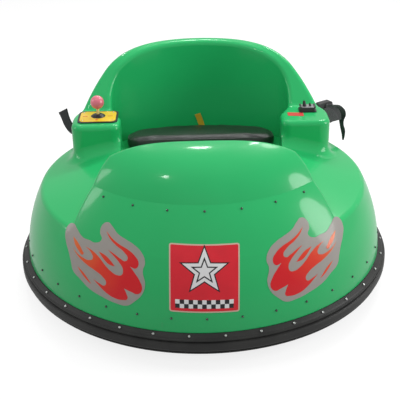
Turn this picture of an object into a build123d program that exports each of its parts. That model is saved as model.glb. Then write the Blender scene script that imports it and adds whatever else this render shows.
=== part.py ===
"""Battery bumper car for one rider: glass-fibre body on a steel frame, with a rubber bumper ring.

Millimetres. The origin is on the floor under the centre of the bumper ring, +Z is up, the car drives
towards -Y, and +X is the rider's left.
"""
import math
import os

from build123d import *

os.makedirs("parts", exist_ok=True)

# ---------------------------------------------------------------- driving dimensions
GAP = 0.3                    # seat clearance between pieces that are bolted or pushed together
RUN = 0.05                   # radial clearance of a shaft in its bore

# bumper ring and the steel hoop behind it
RING_R = 600.0               # outer radius of the rubber
RING_THICK = 25.0
RING_BOTTOM = 55.0           # above the floor
RING_HEIGHT = 61.0
HOOP_THICK = 6.0
HOOP_FLANGE = 32.0           # width of the flat flange that the body stands on
HOOP_INNER_GAP = 4.0         # hoop stands this far above the ring's lower edge

# dome of the body: an arc turned about Z
DOME_ARC_R = 478.0
DOME_ARC_Z = 100.0
SHOULDER_Z = 330.0           # where the side decks start
SHOULDER_FILLET = 22.0
DECK_INNER_R = 250.0
DECK_INNER_Z = 398.0
SKIN = 6.0                   # laminate thickness
RIM_SKIN = 15.0              # thickness under the rounded rims of the tower and the hood

# hood in front of the rider
HOOD_HALF_ANGLE = 49.5
HOOD_CREASE_R = 430.0
HOOD_MID = (361.0, 519.0)    # radius and height of a point half way up the bulge
HOOD_TOP = (240.0, 556.0)    # radius and height where the bulge is level
HOOD_REAR_Y = -228.0
HOOD_FILLET = 16.0           # along the hood's sides and over its rear edge

# tower: the two arm columns and the back rest, a U in plan
TOWER_R = 468.0              # the back is round about Z, the arms are cut flat
ARM_FLAT = 42.0              # the flat outer face of each arm lies this far inside the circle
ARM_FRONT_Y = 85.0
ARM_REAR_FILLET = 110.0      # where the flat arm turns into the round back
COLUMN_CORNER_R = 38.0       # outer front corner of each column
COLUMN_INNER_R = 30.0        # and the corner beside the rider's knee
COLUMN_FOOT_R = 40.0         # hollow where the tower rises from the decks
ARM_TOP_Z = 475.0
ARM_LEVEL_Y = 217.0          # the arm rests are level up to here
RIM_KNEE = (235.0, 483.5)    # Y and Z where the rim's ramp starts
RIM_RAMP = 85.0              # how far the ramp runs back
BACK_TOP = 653.0
RIM_FILLET = 16.0

# cockpit
SEAT_HALF = 265.0            # between the columns
TUB_HALF = 300.0             # behind the columns
RIM_WIDE = 45.0              # from the tower's round back to the tub's
TUB_CORNER_R = 80.0
TUB_WAIST_Y = 165.0          # the tub starts to widen here
TUB_HIP_Y = 240.0            # and has its full width here
TUB_BEND_R = 45.0
SEAT_FRONT_Y = 140.0
SEAT_FRONT_Z = 362.0         # seat pan, front edge
SEAT_REAR_Z = 303.0          # seat pan at the back wall
TUB_SEAM = 16.0              # how far the tub's edge stands above the seat pan
FOOT_FRONT_Y = -385.0
FOOT_FRONT_HALF = 180.0
FOOT_CEILING_Z = 412.0

# steel frame
TUBE = 30.0                  # square tube
RAIL_X = 90.0                # centre line of each rail
FRAME_BOTTOM = 65.0
LONG_OUTRIGGER_YS = (-250.0, 40.0, 330.0)      # these reach the hoop
OUTRIGGER_WIDE = 24.0
MOTOR_ARM_OFFSET = 55.0                        # the short ones, either side of the drive axle

# drive
WHEEL_R = 100.0
TYRE_WIDE = 48.0
TYRE_DEEP = 27.0
WHEEL_GAP = 17.0             # from the cockpit's wall to the tyre
DRIVE_Y = 195.0
AXLE_R = 10.0
AXLE_STUB = 22.0             # axle beyond the tyre's outer face
AXLE_BLIND = 8.0             # gearbox behind the axle's bore
AXLE_NUT = (17.0, 9.0)       # corner radius and thickness
HUB_R = 28.0                 # boss of the wheel
HUB_DRAFT = 2.0              # the boss narrows outwards by this, either side of HUB_R
HUB_INSET = 3.0              # rim's edge inside the tyre's
RIM_WALL = 10.0              # wheel's rim under the tyre
DISC_HALF = 6.0              # half the wheel's disc
TYRE_EDGE_R = 9.0
MOTOR_R = 42.0
MOTOR_LONG = 85.0
GEARBOX = 84.0               # square of the gearbox
GEARBOX_LONG = 38.0
GEARBOX_CORNER_R = 8.0
MOTOR_PLATE = 8.0
PLATE_TO_WHEEL = 56.0        # from the inner face of the motor's plate to the tyre's middle
MOTOR_PLATE_HALF = 47.0
MOTOR_PLATE_TOP = 150.0
AXLE_CLEAR = 5.0             # round the axle where it passes the plate

# casters
CASTER_Y = 442.0
CASTER_WHEEL_R = 37.5
CASTER_WHEEL_WIDE = 24.0
CASTER_TRAIL = 28.0
CASTER_HUB_R = 12.0
CASTER_EDGE = 4.0            # bevel of the tread's edges
CASTER_PLATE = (100.0, 76.0, 4.0)
CASTER_FORK = 3.0            # thickness of the fork's arms and crown
CASTER_ARM = 20.0            # half the arm's breadth at the crown
CASTER_EAR = 9.0             # fork's end round the axle
CASTER_AXLE_R = 5.0
CASTER_NUT = (9.0, 6.0)      # corner radius and thickness
CASTER_RACE = (24.0, 5.3)    # radius and thickness of the swivel race under the top plate
CASTER_MOUNT = 6.0           # thickness of the plate that bridges the rails
CASTER_MOUNT_HALF = 49.0
KINGPIN_R = 6.0

# battery and control box
BATTERY = (390.0, 128.0, 160.0)
BATTERY_Y = 315.0
BATTERY_CORNER_R = 6.0
TRAY = 3.0
CONTROL_BOX = (150.0, 90.0, 60.0)
CONTROL_CORNER_R = 5.0

# cushion
CUSHION_THICK = 40.0
CUSHION_SIDE_GAP = 4.0       # to the columns
CUSHION_FRONT_Y = 146.0
CUSHION_SIDE_Y = 280.0       # rear ends of the straight sides
CUSHION_REAR_Y = 378.0
CUSHION_REAR_R = 100.0
CUSHION_FRONT_R = 60.0
CUSHION_EDGE_R = 12.0

# hand controls
PLATE_SIZE = (132.0, 102.0)
PLATE_CORNER = 18.0
PLATE_THICK = 3.0
PLATE_Y = 165.0
PLATE_INWARD = 5.0           # from the middle of the arm towards the rider
STICK_R = 5.0
STICK_LONG = 33.0
STICK_BACK = 4.0             # the stick stands this far behind the plate's middle
BALL_R = 22.5
BALL_SEAT = 6.0              # the shaft stands this deep in the ball
BOOT_R = 24.0
BOOT_HIGH = 9.0
SWITCH_SIZE = (50.0, 36.0, 14.0)
SWITCH_RIM = 4.0             # flange round the switch
SWITCH_OUTWARD = 14.0        # from the middle of the arm
SWITCH_Y = 188.0
LEVER_HIGH = 14.0

# belt
WEB_WIDE = 38.0
WEB_THICK = 3.0
BELT_Y = 255.0               # where the belt is bolted to the back's outer wall
BRACKET_RISE = 1.0           # the brackets' lower edge above the hollow round the tower's foot
BRACKET_SIZE = (3.0, 32.0, 34.0)               # thickness, width and height of the foot
EAR_SIZE = (46.0, 28.0)      # reach from the foot, height
BUCKLE_SIZE = (62.0, 22.0, 52.0)
BUCKLE_RISE = 34.0           # buckle's lower edge above the bracket's
BUCKLE_OUT = 11.0            # buckle's inner side from the wall
TAB_HIGH = 80.0
TAB_WIDE = 20.0
TAB_LEAN = 22.0
TAB_X = 14.0

# charging socket in the back of the body
SOCKET_Z = 225.0
SOCKET_BORE_R = 8.0
SOCKET_DEEP = 18.0
SOCKET_R = 14.0
SOCKET_FLANGE = (5.0, 3.0)   # width and thickness
SOCKET_BACK = 8.0            # thickness behind the bore

# ---------------------------------------------------------------- worked out from the above
body_r = RING_R - RING_THICK                   # dome radius at the level of the arc's centre
dome_arc_r0 = body_r - DOME_ARC_R              # radius at which the arc's centre lies
body_bottom = RING_BOTTOM + RING_HEIGHT
frame_top = FRAME_BOTTOM + TUBE
well_floor = frame_top + GAP + SKIN            # upper face of the foot well's floor
TUB_R = TOWER_R - RIM_WIDE
ARM_OUT = TOWER_R - ARM_FLAT
above_all = 1.2 * BACK_TOP                     # cutting tools end above everything
wheel_x = SEAT_HALF + SKIN + WHEEL_GAP + TYRE_WIDE / 2
motor_plate_x = wheel_x - PLATE_TO_WHEEL
hoop_r = body_r - GAP


def dome_radius(z, inset=0.0):
    """Radius of the dome's outer face at height z, or of the face that lies inset inside it."""
    return dome_arc_r0 + math.sqrt((DOME_ARC_R - inset) ** 2 - (z - DOME_ARC_Z) ** 2)


def dome_height(r, inset=0.0):
    """Height of the dome's outer face at radius r."""
    return DOME_ARC_Z + math.sqrt((DOME_ARC_R - inset) ** 2 - (r - dome_arc_r0) ** 2)


def dome_arc(low_z, high_z, inset):
    """The dome's arc between two heights, in the XZ plane."""
    points = [(dome_radius(z, inset), z) for z in (low_z, (low_z + high_z) / 2, high_z)]
    return ThreePointArc(*points)


def deck_z(r):
    """Height of the side decks, a shallow cone, at radius r."""
    shoulder_r = dome_radius(SHOULDER_Z)
    slope = (DECK_INNER_Z - SHOULDER_Z) / (shoulder_r - DECK_INNER_R)
    return SHOULDER_Z + slope * (shoulder_r - r)


# top edge of the foot well's moulding, under the lowest corner of the decks
well_seam_z = deck_z(math.hypot(SEAT_HALF, HOOD_REAR_Y)) - 2 * SKIN
pan_under = SKIN + max(SEAT_FRONT_Z - well_seam_z, 0)    # the seat's moulding takes in this much under the pan


def base_solid(inset, rounded):
    """Body without hood and tower: the dome up to its shoulder, closed by the decks."""
    bottom = body_bottom - (1.0 if inset else 0.0)
    shoulder_z = SHOULDER_Z - inset
    shoulder_r = dome_radius(shoulder_z, inset)
    with BuildPart() as base:
        with BuildSketch(Plane.XZ):
            with BuildLine():
                side = dome_arc(bottom, shoulder_z, inset)
                top = Polyline(side @ 1, (0, deck_z(0) - inset), (0, bottom), side @ 0)
            make_face()
            if rounded:
                corner = vertices().sort_by_distance((shoulder_r, shoulder_z))[0]
                fillet(corner, SHOULDER_FILLET)
        revolve(axis=Axis.Z)
    return base.part


def hood_wedge(inset, low_z):
    """Space that the hood takes up: a wedge in plan, with a flat rear face across the car."""
    rear_y = HOOD_REAR_Y - inset
    side = math.radians(HOOD_HALF_ANGLE)
    shift = inset / math.cos(side)
    near_x = -rear_y * math.tan(side) - shift
    far_y = -1.1 * RING_R
    far_x = -far_y * math.tan(side) - shift
    with BuildPart() as wedge:
        with BuildSketch(Plane.XY.offset(low_z)):
            with BuildLine():
                Polyline((near_x, rear_y), (far_x, far_y), (-far_x, far_y), (-near_x, rear_y), close=True)
            make_face()
        extrude(amount=above_all - low_z)
    return wedge.part


def hood_solid(inset, drop, low_z, rounded):
    """Front of the body: dome, crease, and the bulge in front of the rider."""
    crease_z = dome_height(HOOD_CREASE_R) - inset
    with BuildPart() as hood:
        with BuildSketch(Plane.XZ):
            with BuildLine():
                side = dome_arc(low_z, crease_z, inset)
                bulge = ThreePointArc(
                    side @ 1,
                    (HOOD_MID[0] - drop * 0.5, HOOD_MID[1] - drop * 0.85),
                    (HOOD_TOP[0], HOOD_TOP[1] - drop),
                )
                Polyline(bulge @ 1, (0, HOOD_TOP[1] - drop), (0, low_z), side @ 0)
            make_face()
        revolve(axis=Axis.Z)
        add(hood_wedge(inset, low_z), mode=Mode.INTERSECT)
        if rounded:
            front_face = hood.faces().sort_by(Axis.Y)[0]
            upper = hood.edges().filter_by(lambda edge: edge.center().Z > low_z + SKIN)
            sides = upper.filter_by(GeomType.LINE, reverse=True) - front_face.edges().group_by(Axis.Z)[-1]
            rear = upper.filter_by(GeomType.LINE).filter_by(Axis.X)
            fillet(sides + rear, HOOD_FILLET)
    return hood.part


def tower_plan(inset):
    """Outline of the tower in plan: a circle cut flat at both arms and in front."""
    with BuildSketch() as plan:
        Circle(TOWER_R)
        with Locations((0, ARM_FRONT_Y + TOWER_R)):
            Rectangle(2 * ARM_OUT, 2 * TOWER_R, mode=Mode.INTERSECT)
        fillet(plan.vertices().group_by(Axis.Y)[1], ARM_REAR_FILLET)
        fillet(plan.vertices().group_by(Axis.Y)[0], COLUMN_CORNER_R)
        if inset:
            offset(amount=-inset, mode=Mode.REPLACE)
    return plan.sketch


def tower_side(drop):
    """Side view of the tower: level arm rests, a ramp, and the crown of the back."""
    front_y = 0
    rear_y = 1.1 * TOWER_R
    low_z = SEAT_REAR_Z / 2
    with BuildSketch() as side:
        with BuildLine():
            level = Line((front_y, ARM_TOP_Z - drop), (ARM_LEVEL_Y, ARM_TOP_Z - drop))
            sweep = TangentArc(level @ 1, (RIM_KNEE[0] + drop * 0.6, RIM_KNEE[1] - drop * 0.7), tangent=(1, 0))
            slope = sweep % 1
            ramp_end = sweep @ 1 + slope * (RIM_RAMP / slope.X)
            Line(sweep @ 1, ramp_end)
            crown = TangentArc(ramp_end, (TOWER_R, BACK_TOP - drop), tangent=slope)
            Polyline(crown @ 1, (rear_y, BACK_TOP - drop), (rear_y, low_z), (front_y, low_z), level @ 0)
        make_face()
    return side.sketch


def tower_solid(inset, drop):
    """The U-shaped tower, still solid between its arms."""
    with BuildPart() as tower:
        with BuildSketch(Plane.XY.offset(SEAT_REAR_Z * 0.9)):
            add(tower_plan(inset))
        extrude(amount=above_all)
        with BuildSketch(Plane.YZ):
            add(tower_side(drop))
        extrude(amount=TOWER_R, both=True, mode=Mode.INTERSECT)
    return tower.part


def well_plan(grow):
    """Outline of the foot well in plan."""
    with BuildSketch() as plan:
        with BuildLine():
            Polyline(
                (SEAT_HALF, SEAT_FRONT_Y), (SEAT_HALF, HOOD_REAR_Y), (FOOT_FRONT_HALF, FOOT_FRONT_Y),
                (-FOOT_FRONT_HALF, FOOT_FRONT_Y), (-SEAT_HALF, HOOD_REAR_Y), (-SEAT_HALF, SEAT_FRONT_Y),
                close=True,
            )
        make_face()
        if grow:
            offset(amount=grow, kind=Kind.INTERSECTION, mode=Mode.REPLACE)
    return plan.sketch


def tub_plan(grow):
    """Outline of the seat tub in plan: narrow between the columns, then wider, and round at the back."""
    front_y = ARM_FRONT_Y / 2
    straight_y = TUB_HIP_Y + TUB_BEND_R / 4    # the corners' arcs end behind this
    widest_corner = max((TUB_R + TUB_HALF - straight_y ** 2 / (TUB_R - TUB_HALF)) / 2, SKIN)
    with BuildSketch() as plan:
        with BuildLine():
            Polyline(
                (TUB_HALF, 2 * TUB_R), (TUB_HALF, TUB_HIP_Y), (SEAT_HALF, TUB_WAIST_Y), (SEAT_HALF, front_y),
                (-SEAT_HALF, front_y), (-SEAT_HALF, TUB_WAIST_Y), (-TUB_HALF, TUB_HIP_Y),
                (-TUB_HALF, 2 * TUB_R), close=True,
            )
        make_face()
        fillet(plan.vertices().filter_by_position(Axis.Y, TUB_WAIST_Y - 1, TUB_HIP_Y + 1), TUB_BEND_R)
        Circle(TUB_R, mode=Mode.INTERSECT)
        fillet(plan.vertices().group_by(Axis.Y)[-1], min(TUB_CORNER_R, widest_corner))
        if grow:
            offset(amount=grow, kind=Kind.INTERSECTION, mode=Mode.REPLACE)
    return plan.sketch


def pan_z(y):
    """Height of the seat pan's upper face."""
    slope = (SEAT_REAR_Z - SEAT_FRONT_Z) / (TUB_R - SEAT_FRONT_Y)
    return SEAT_FRONT_Z + slope * (y - SEAT_FRONT_Y)


def seat_side(low):
    """Side view of the room above the seat pan, from low above the pan's face upwards."""
    front, rear = SEAT_FRONT_Y - SKIN, 1.1 * TUB_R
    with BuildSketch() as side:
        with BuildLine():
            Polyline((front, pan_z(front) + low), (rear, pan_z(rear) + low), (rear, above_all),
                     (front, above_all), close=True)
        make_face()
    return side.sketch


def seat_room(grow, low):
    """Room above the seat pan inside the tub."""
    with BuildPart() as seat:
        with BuildSketch(Plane.XY.offset(SEAT_REAR_Z / 2)):
            add(tub_plan(grow))
        extrude(amount=above_all)
        with BuildSketch(Plane.YZ):
            add(seat_side(low))
        extrude(amount=TOWER_R, both=True, mode=Mode.INTERSECT)
    return seat.part


def box_between(low, high):
    """Box from its low corner to its high corner."""
    size = [h - l for l, h in zip(low, high)]
    centre = tuple((h + l) / 2 for l, h in zip(low, high))
    with BuildPart() as block:
        with Locations(centre):
            Box(*size)
    return block.part


def foot_room(grow, top):
    """Foot well, from its floor up to a given height."""
    floor = well_floor - grow
    with BuildPart() as well:
        with BuildSketch(Plane.XY.offset(floor)):
            add(well_plan(grow))
        extrude(amount=top - floor)
    return well.part


def cockpit_rooms(grow):
    """Rooms that the rider sits in, each grown by a wall: the tub, between the columns, the foot well."""
    between = box_between(
        (-SEAT_HALF - grow, HOOD_REAR_Y - grow, well_floor - grow),
        (SEAT_HALF + grow, SEAT_FRONT_Y + grow, above_all),
    )
    return [seat_room(grow, -grow), between, foot_room(grow, FOOT_CEILING_Z + grow)]


def knee_edges(form, inset):
    """Upright edges of the columns beside the rider's knees."""
    x, y = SEAT_HALF + inset, ARM_FRONT_Y + inset
    return form.edges().filter_by(Axis.Z).filter_by(
        lambda edge: abs(abs(edge.center().X) - x) < 1 and abs(edge.center().Y - y) < 1
        and edge.center().Z > deck_z(math.hypot(x, y))
    )


def rim_edges(form):
    """Edges all round the top of the tower, without the seams between its level and sloping faces."""
    high = form.edges().filter_by(
        lambda edge: edge.center().Y > ARM_FRONT_Y - 1
        and min(vertex.Z for vertex in edge.vertices()) > ARM_TOP_Z - 1
    )
    return high.filter_by(lambda edge: abs((edge % 0.5).X) < 0.999 or edge.center().Y < ARM_FRONT_Y + 1
                          or edge.length > SEAT_HALF * 2)


def foot_edges(form):
    """Edges where the tower rises from the decks, up to the columns' rounded inner corners."""
    return form.edges().filter_by(
        lambda edge: edge.center().Y > ARM_FRONT_Y - 1
        and math.hypot(edge.center().X, edge.center().Y) > SEAT_HALF + COLUMN_INNER_R
        and all(abs(vertex.Z - deck_z(math.hypot(vertex.X, vertex.Y))) < 1 for vertex in edge.vertices())
        and all(math.hypot(vertex.X, vertex.Y) < TOWER_R + 1 for vertex in edge.vertices())
    )


# ---------------------------------------------------------------- body mouldings
with BuildPart() as outer_form:
    add(base_solid(0, True))
    add(hood_solid(0, 0, body_bottom, True))
    add(tower_solid(0, 0))
    for room in cockpit_rooms(0):
        add(room, mode=Mode.SUBTRACT)
    fillet(knee_edges(outer_form.part, 0), COLUMN_INNER_R)
    fillet(foot_edges(outer_form.part), COLUMN_FOOT_R)
    fillet(rim_edges(outer_form.part), RIM_FILLET)

with BuildPart() as inner_form:
    add(base_solid(SKIN, False))
    add(hood_solid(SKIN + 1, RIM_SKIN, body_bottom - 1, False))
    add(tower_solid(SKIN, RIM_SKIN))
    for room in cockpit_rooms(SKIN):
        add(room, mode=Mode.SUBTRACT)
    fillet(knee_edges(inner_form.part, SKIN), COLUMN_INNER_R - SKIN)

# walls of the foot well that hang below the body's lower edge
with BuildPart() as well_sump:
    add(foot_room(SKIN, body_bottom))
    add(foot_room(0, body_bottom), mode=Mode.SUBTRACT)

with BuildPart() as body_form:
    add(outer_form.part)
    add(inner_form.part, mode=Mode.SUBTRACT)
    add(well_sump.part)

# the tub is one moulding, the body above it another; they meet under the decks and behind the cushion
with BuildPart() as tub_zone:
    add(foot_room(SKIN, FOOT_CEILING_Z + SKIN))
    over_the_seam = box_between((-RING_R, HOOD_REAR_Y - SKIN, well_seam_z), (RING_R, RING_R, above_all))
    add(over_the_seam, mode=Mode.SUBTRACT)
    with BuildPart(mode=Mode.PRIVATE) as pan_zone:
        add(seat_room(SKIN, -pan_under))
        add(seat_room(2 * SKIN, TUB_SEAM), mode=Mode.SUBTRACT)
    add(pan_zone.part)

with BuildPart() as cockpit_tub:
    add(body_form.part)
    add(tub_zone.part, mode=Mode.INTERSECT)

socket_r = dome_radius(SOCKET_Z)
socket_plane = Plane(
    origin=(0, socket_r, SOCKET_Z), x_dir=(1, 0, 0),
    z_dir=(0, socket_r - dome_arc_r0, SOCKET_Z - DOME_ARC_Z),
)
with BuildPart() as body_shell:
    add(body_form.part)
    add(tub_zone.part, mode=Mode.SUBTRACT)
    with BuildSketch(socket_plane):
        Circle(SOCKET_R)
    extrude(amount=3 * SKIN, both=True, mode=Mode.SUBTRACT)

with BuildPart() as charge_socket:
    with BuildSketch(socket_plane.offset(GAP)):
        Circle(SOCKET_R + SOCKET_FLANGE[0])
    extrude(amount=SOCKET_FLANGE[1])
    with BuildSketch(socket_plane.offset(GAP)):
        Circle(SOCKET_R - GAP)
    extrude(amount=-SOCKET_DEEP - SOCKET_BACK)
    with BuildSketch(socket_plane.offset(GAP + SOCKET_FLANGE[1])):
        Circle(SOCKET_BORE_R)
    extrude(amount=-SOCKET_DEEP, mode=Mode.SUBTRACT)

# ---------------------------------------------------------------- rubber bumper ring and its steel hoop
ring_profile = [                               # radius beyond the body, height above the ring's lower edge
    (0, 0), (14, 0), (19, 4), (19, 8), (15, 10), (15, 12), (23, 14), (25, 18), (25, 35), (23, 39),
    (16, 41), (16, 43), (19, 45), (19, 48), (15, 50), (14, 52), (12, 54), (3, 61), (0, 61),
]
with BuildPart() as bumper_ring:
    with BuildSketch(Plane.XZ):
        with BuildLine():
            Polyline([(body_r + out, RING_BOTTOM + up) for out, up in ring_profile], close=True)
        make_face()
    revolve(axis=Axis.Z)

hoop_bottom = RING_BOTTOM + HOOP_INNER_GAP
hoop_inner_r = hoop_r - HOOP_THICK
with BuildPart() as bumper_hoop:
    with BuildSketch(Plane.XZ):
        with BuildLine():
            Polyline(
                (hoop_r, hoop_bottom), (hoop_r, body_bottom), (hoop_r - HOOP_FLANGE, body_bottom),
                (hoop_r - HOOP_FLANGE, body_bottom - HOOP_THICK), (hoop_inner_r, body_bottom - HOOP_THICK),
                (hoop_inner_r, hoop_bottom), close=True,
            )
        make_face()
    revolve(axis=Axis.Z)


# ---------------------------------------------------------------- steel frame
def reach(offset_from_centre):
    """How far a tube whose far edge runs at this offset can go before it meets the hoop."""
    return math.sqrt(hoop_inner_r ** 2 - offset_from_centre ** 2) - GAP


rail_half = reach(RAIL_X + TUBE / 2)
with BuildPart() as chassis_rails:
    with Locations((-RAIL_X, 0, FRAME_BOTTOM + TUBE / 2), (RAIL_X, 0, FRAME_BOTTOM + TUBE / 2)):
        Box(TUBE, 2 * rail_half, TUBE)

rail_side = RAIL_X + TUBE / 2 + GAP
motor_arm_end = motor_plate_x + MOTOR_PLATE
outrigger_ends = {y: reach(abs(y) + OUTRIGGER_WIDE / 2) for y in LONG_OUTRIGGER_YS}
outrigger_ends |= {DRIVE_Y + side * MOTOR_ARM_OFFSET: motor_arm_end for side in (-1, 1)}
with BuildPart() as chassis_outriggers:
    for y, end in outrigger_ends.items():
        length = end - rail_side
        centre_x = rail_side + length / 2
        with Locations((-centre_x, y, FRAME_BOTTOM + TUBE / 2), (centre_x, y, FRAME_BOTTOM + TUBE / 2)):
            Box(length, OUTRIGGER_WIDE, TUBE)

# ---------------------------------------------------------------- battery, its tray and the control box
tray_z = frame_top + GAP
with BuildPart() as battery_tray:
    with Locations((0, BATTERY_Y, tray_z + TRAY / 2)):
        Box(BATTERY[0], BATTERY[1], TRAY)

with BuildPart() as battery:
    with Locations((0, BATTERY_Y, tray_z + TRAY + GAP + BATTERY[2] / 2)):
        Box(*BATTERY)
    fillet(battery.edges().filter_by(Axis.Z), BATTERY_CORNER_R)

mount_z = frame_top + GAP
with BuildPart() as control_box:
    with Locations((0, -CASTER_Y, mount_z + CASTER_MOUNT + GAP + CONTROL_BOX[2] / 2)):
        Box(*CONTROL_BOX)
    fillet(control_box.edges().filter_by(Axis.Z), CONTROL_CORNER_R)


def save(part, name):
    """Label a finished piece and write its file."""
    part.label = name
    export_step(part, f"parts/{name}.step")


# ---------------------------------------------------------------- drive units, one each side
wheel_z = WHEEL_R
rim_r = WHEEL_R - TYRE_DEEP
hub_half = TYRE_WIDE / 2 - HUB_INSET
axle_end = wheel_x + TYRE_WIDE / 2 + AXLE_STUB

for name, side in (("left", 1), ("right", -1)):
    hub_point = (0, DRIVE_Y, wheel_z)
    spin = Axis(hub_point, (1, 0, 0))
    across = Plane(origin=hub_point, x_dir=(0, 1, 0), z_dir=(side, 0, 0))       # faces outwards
    section = Plane(origin=hub_point, x_dir=(side, 0, 0), z_dir=(0, -side, 0))  # x out, y up

    upper_low = frame_top + GAP - wheel_z
    upper_high = MOTOR_PLATE_TOP - wheel_z
    with BuildPart() as motor_plate:
        with BuildSketch(Plane(origin=hub_point, x_dir=(0, side, 0), z_dir=(side, 0, 0)).offset(motor_plate_x)):
            with Locations((0, (upper_low + upper_high) / 2)):
                Rectangle(2 * MOTOR_PLATE_HALF, upper_high - upper_low)
            with Locations((0, (upper_low - MOTOR_R) / 2)):
                Rectangle(GEARBOX, upper_low + MOTOR_R)
            Circle(AXLE_R + AXLE_CLEAR, mode=Mode.SUBTRACT)
        extrude(amount=MOTOR_PLATE)
    save(motor_plate.part, f"motor_plate_{name}")

    with BuildPart() as gear_motor:
        with BuildSketch(across.offset(motor_plate_x - GEARBOX_LONG)):
            RectangleRounded(GEARBOX, GEARBOX, GEARBOX_CORNER_R)
        extrude(amount=GEARBOX_LONG)
        with BuildSketch(across.offset(motor_plate_x - GEARBOX_LONG)):
            Circle(MOTOR_R - 3)
        extrude(amount=-MOTOR_LONG)
        with BuildSketch(across.offset(motor_plate_x)):
            Circle(AXLE_R + RUN)
        extrude(amount=AXLE_BLIND - GEARBOX_LONG, mode=Mode.SUBTRACT)
    save(gear_motor.part, f"gear_motor_{name}")

    axle_start = motor_plate_x - GEARBOX_LONG + AXLE_BLIND + GAP
    with BuildPart() as drive_axle:
        with BuildSketch(across.offset(axle_start)):
            Circle(AXLE_R)
        extrude(amount=axle_end - axle_start)
        with BuildSketch(across.offset(wheel_x + hub_half + GAP)):
            RegularPolygon(AXLE_NUT[0], 6)
        extrude(amount=AXLE_NUT[1])
    save(drive_axle.part, f"drive_axle_{name}")

    hub_in, hub_out = wheel_x - hub_half, wheel_x + hub_half
    disc_in, disc_out = wheel_x - DISC_HALF, wheel_x + DISC_HALF
    rim_foot_r = rim_r - 1.4 * RIM_WALL
    rim_edge_r = rim_r - 0.8 * RIM_WALL
    with BuildPart() as wheel_hub:
        with BuildSketch(section):
            with BuildLine():
                Polyline(
                    (hub_in, AXLE_R + RUN), (hub_in, HUB_R - HUB_DRAFT), (disc_in, HUB_R + HUB_DRAFT),
                    (disc_in, rim_foot_r), (hub_in, rim_edge_r), (hub_in, rim_r),
                    (hub_out, rim_r), (hub_out, rim_edge_r), (disc_out, rim_foot_r),
                    (disc_out, HUB_R + HUB_DRAFT), (hub_out, HUB_R - HUB_DRAFT), (hub_out, AXLE_R + RUN),
                    close=True,
                )
            make_face()
        revolve(axis=spin)
    save(wheel_hub.part, f"wheel_hub_{name}")

    with BuildPart() as tyre:
        with BuildSketch(section) as tyre_section:
            with Locations((wheel_x, (WHEEL_R + rim_r + GAP) / 2)):
                Rectangle(TYRE_WIDE, WHEEL_R - rim_r - GAP)
            fillet(tyre_section.vertices().group_by(Axis.Y)[-1], TYRE_EDGE_R)
        revolve(axis=spin)
    save(tyre.part, f"tyre_{name}")

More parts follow.
